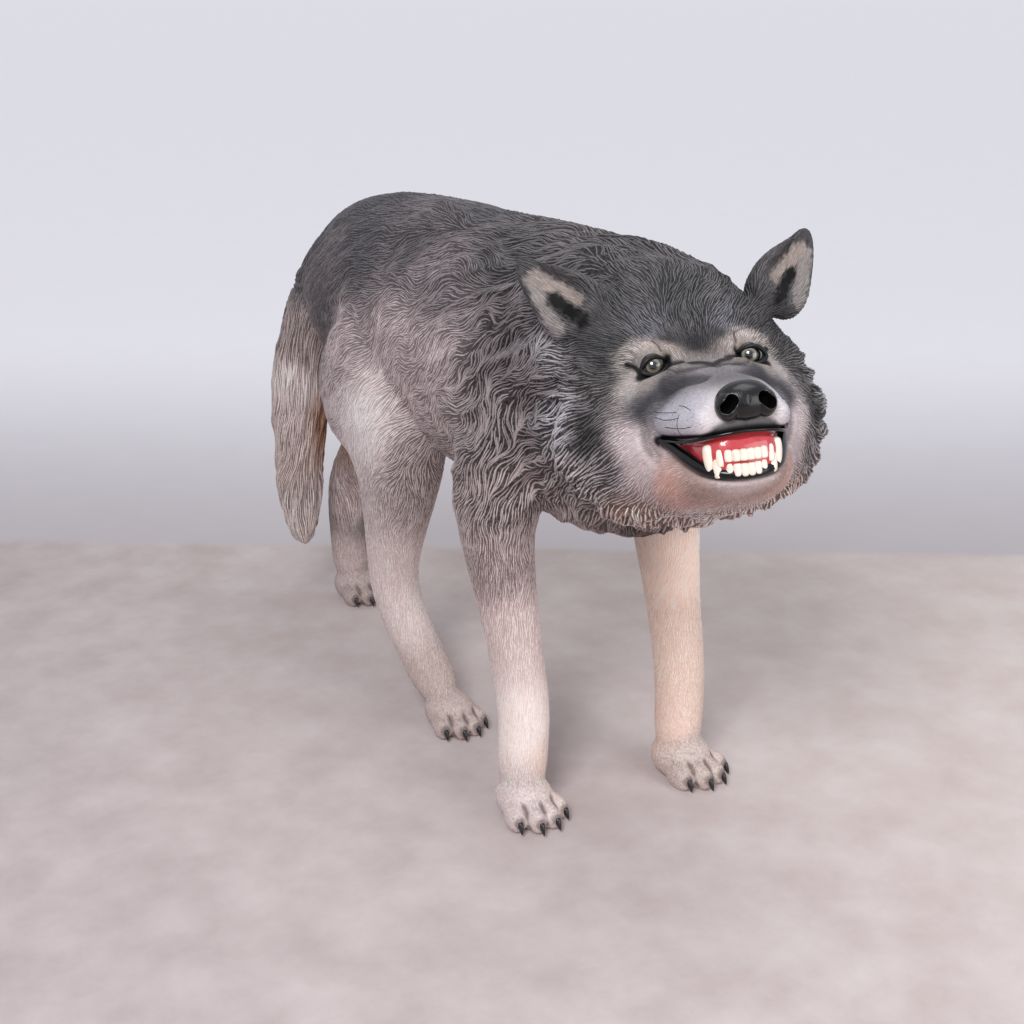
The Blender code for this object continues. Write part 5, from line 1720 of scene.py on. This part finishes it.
def studio():
    """Floor, lamps and the camera at the photograph's place."""
    corners = [(x * FLOOR_REACH, y * FLOOR_REACH, 0) for x, y in ((-1, -1), (1, -1), (1, 1), (-1, 1))]
    sheet("floor", corners, studio_material())
    studio_world()
    for name, at, aim, size, energy in LAMPS:
        lamp(name, at, aim, size, energy)
    camera = bpy.data.cameras.new("camera")
    camera.sensor_width = 36
    camera.lens = CAMERA_LENS
    camera.shift_y = CAMERA_SHIFT
    camera.clip_start = 0.05
    eye = new_object("camera", camera)
    eye.location = Vector(CAMERA_AT) + SHIFT
    across, level = math.cos(CAMERA_DOWN), -math.sin(CAMERA_DOWN)
    forward = Vector((math.sin(CAMERA_HEADING) * across, math.cos(CAMERA_HEADING) * across, level))
    eye.rotation_mode = "QUATERNION"
    eye.rotation_quaternion = forward.to_track_quat("-Z", "Y")
    bpy.context.scene.camera = eye
    bpy.context.scene.view_settings.view_transform = "Standard"


def dressed(obj, material, name=None):
    """The piece with its paint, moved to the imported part's frame and riding on the figure."""
    obj.name = obj.data.name = name or obj.name
    obj.data.transform(Matrix.Translation(SHIFT))
    obj.data.materials.clear()
    obj.data.materials.append(material)
    obj.data.shade_smooth()
    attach(obj, "root")


def zones(surface):
    """Where each mesh of locks grows, as a choice of the skin's points."""
    points, local = surface.points, head_local(surface.points)
    x, y, z = points.T
    side, back, up = np.abs(local[:, 0]), local[:, 1], local[:, 2]
    head = (back < HEAD_REAR) & (side < HEAD_HALF) & (up > HEAD_LOW)
    tail = (y > TAIL_FRONT) & (np.abs(x - TAIL_MIDDLE) < TAIL_HALF) & (z > TAIL_LOW) & (x <= TAIL_LEFT_EDGE)
    legs = (z < LEGS_HIGH) & ~tail
    neck = (y < NECK_REAR) & ~head & ~legs
    trunk = ~(head | tail | legs | neck)
    bare = near_either(local, [tuple(EYE_AT)]) < EYE_BARE
    bare |= near_either(local, [tuple(NOSE_AT)]) < NOSE_BARE
    bare |= near_either(local, UPPER_LIP) < UPPER_LIP_BARE
    bare |= near_either(local, LOWER_LIP) < LOWER_LIP_BARE
    bare |= (back < MOUTH_REAR) & (side < MOUTH_HALF) & (up < MOUTH_HEIGHTS[1]) & (up > MOUTH_HEIGHTS[0])
    head &= ~bare
    return {"fur_trunk": trunk, "fur_neck": neck, "fur_legs": legs, "fur_head": head, "fur_tail": tail}


def skin_pieces(rough, fine, low):
    """The skin in three pieces: the body, and the head and the paws cut finer."""
    return [thinned(region(rough, "skin", ~(fine | low), False), SKIN_TRIANGLES),
            thinned(region(rough, "skin_head", fine, True), HEAD_TRIANGLES),
            thinned(region(rough, "skin_paws", low, True), PAW_TRIANGLES)]


def painted(piece, surface):
    """The skin's paint, dark where it lies under long locks."""
    data = piece.data
    data.shade_smooth()
    points = coordinates(data)
    normals = np.empty(len(points) * 3)
    data.vertices.foreach_get("normal", normals)
    light, dark = paint_at(points, normals.reshape(-1, 3), surface)
    height = coat_at(points)[1][:, 2]
    add_colour(data, "light", light)
    add_colour(data, "dark", dark)
    share = smooth_step(*BARE_HEIGHTS, height)
    add_value(data, "crest", BARE_CREST + (SHORT_CREST - BARE_CREST) * share)


def main():
    place = head_matrix()
    rough = rough_skin()
    points = coordinates(rough.data)
    fine = near_head(points)
    low = points[:, 2] < PAW_HIGH
    whole = region(rough, "whole", np.ones(len(points), bool), False)
    surface = Surface(whole)
    skins = skin_pieces(rough, fine, low)
    bpy.data.objects.remove(rough)
    bpy.data.objects.remove(whole)
    coat = coat_material()
    for piece in skins:
        painted(piece, surface)
    grown = zones(surface)
    furs = []
    for i, (name, steps) in enumerate(LOCK_STEPS):
        furs.append(locks_mesh(name, surface, grown[name], steps, SEED + i))
    for piece in skins + furs:
        dressed(piece, coat)
    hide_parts(NODE)
    enamels = {name: plain_material(name, *rest) for name, *rest in ENAMELS}
    glass = eye_material()
    for piece in eyes(place):
        dressed(piece, glass)
    dressed(lids(place), enamels["lid_black"], "eyelids")
    high_lip = [(x, y, z - UPPER_LIP_DROP) for x, y, z in UPPER_LIP]
    dressed(lip("upper_lip", high_lip, UPPER_LIP_SIZES, place), enamels["black_gloss"])
    low_lip = [(x, y, z + LOWER_LIP_RISE) for x, y, z in LOWER_LIP]
    dressed(lip("lower_lip", low_lip, LOWER_LIP_SIZES, place), enamels["black_gloss"])
    dressed(nose(place), nose_material(), "nose")
    dressed(gums(place), enamels["gum_gloss"])
    dressed(teeth(place), enamels["tooth_gloss"], "teeth")
    dressed(claws(), enamels["claw_gloss"], "claws")
    dressed(whiskers(place, surface), enamels["black_gloss"], "whiskers")
    studio()


main()
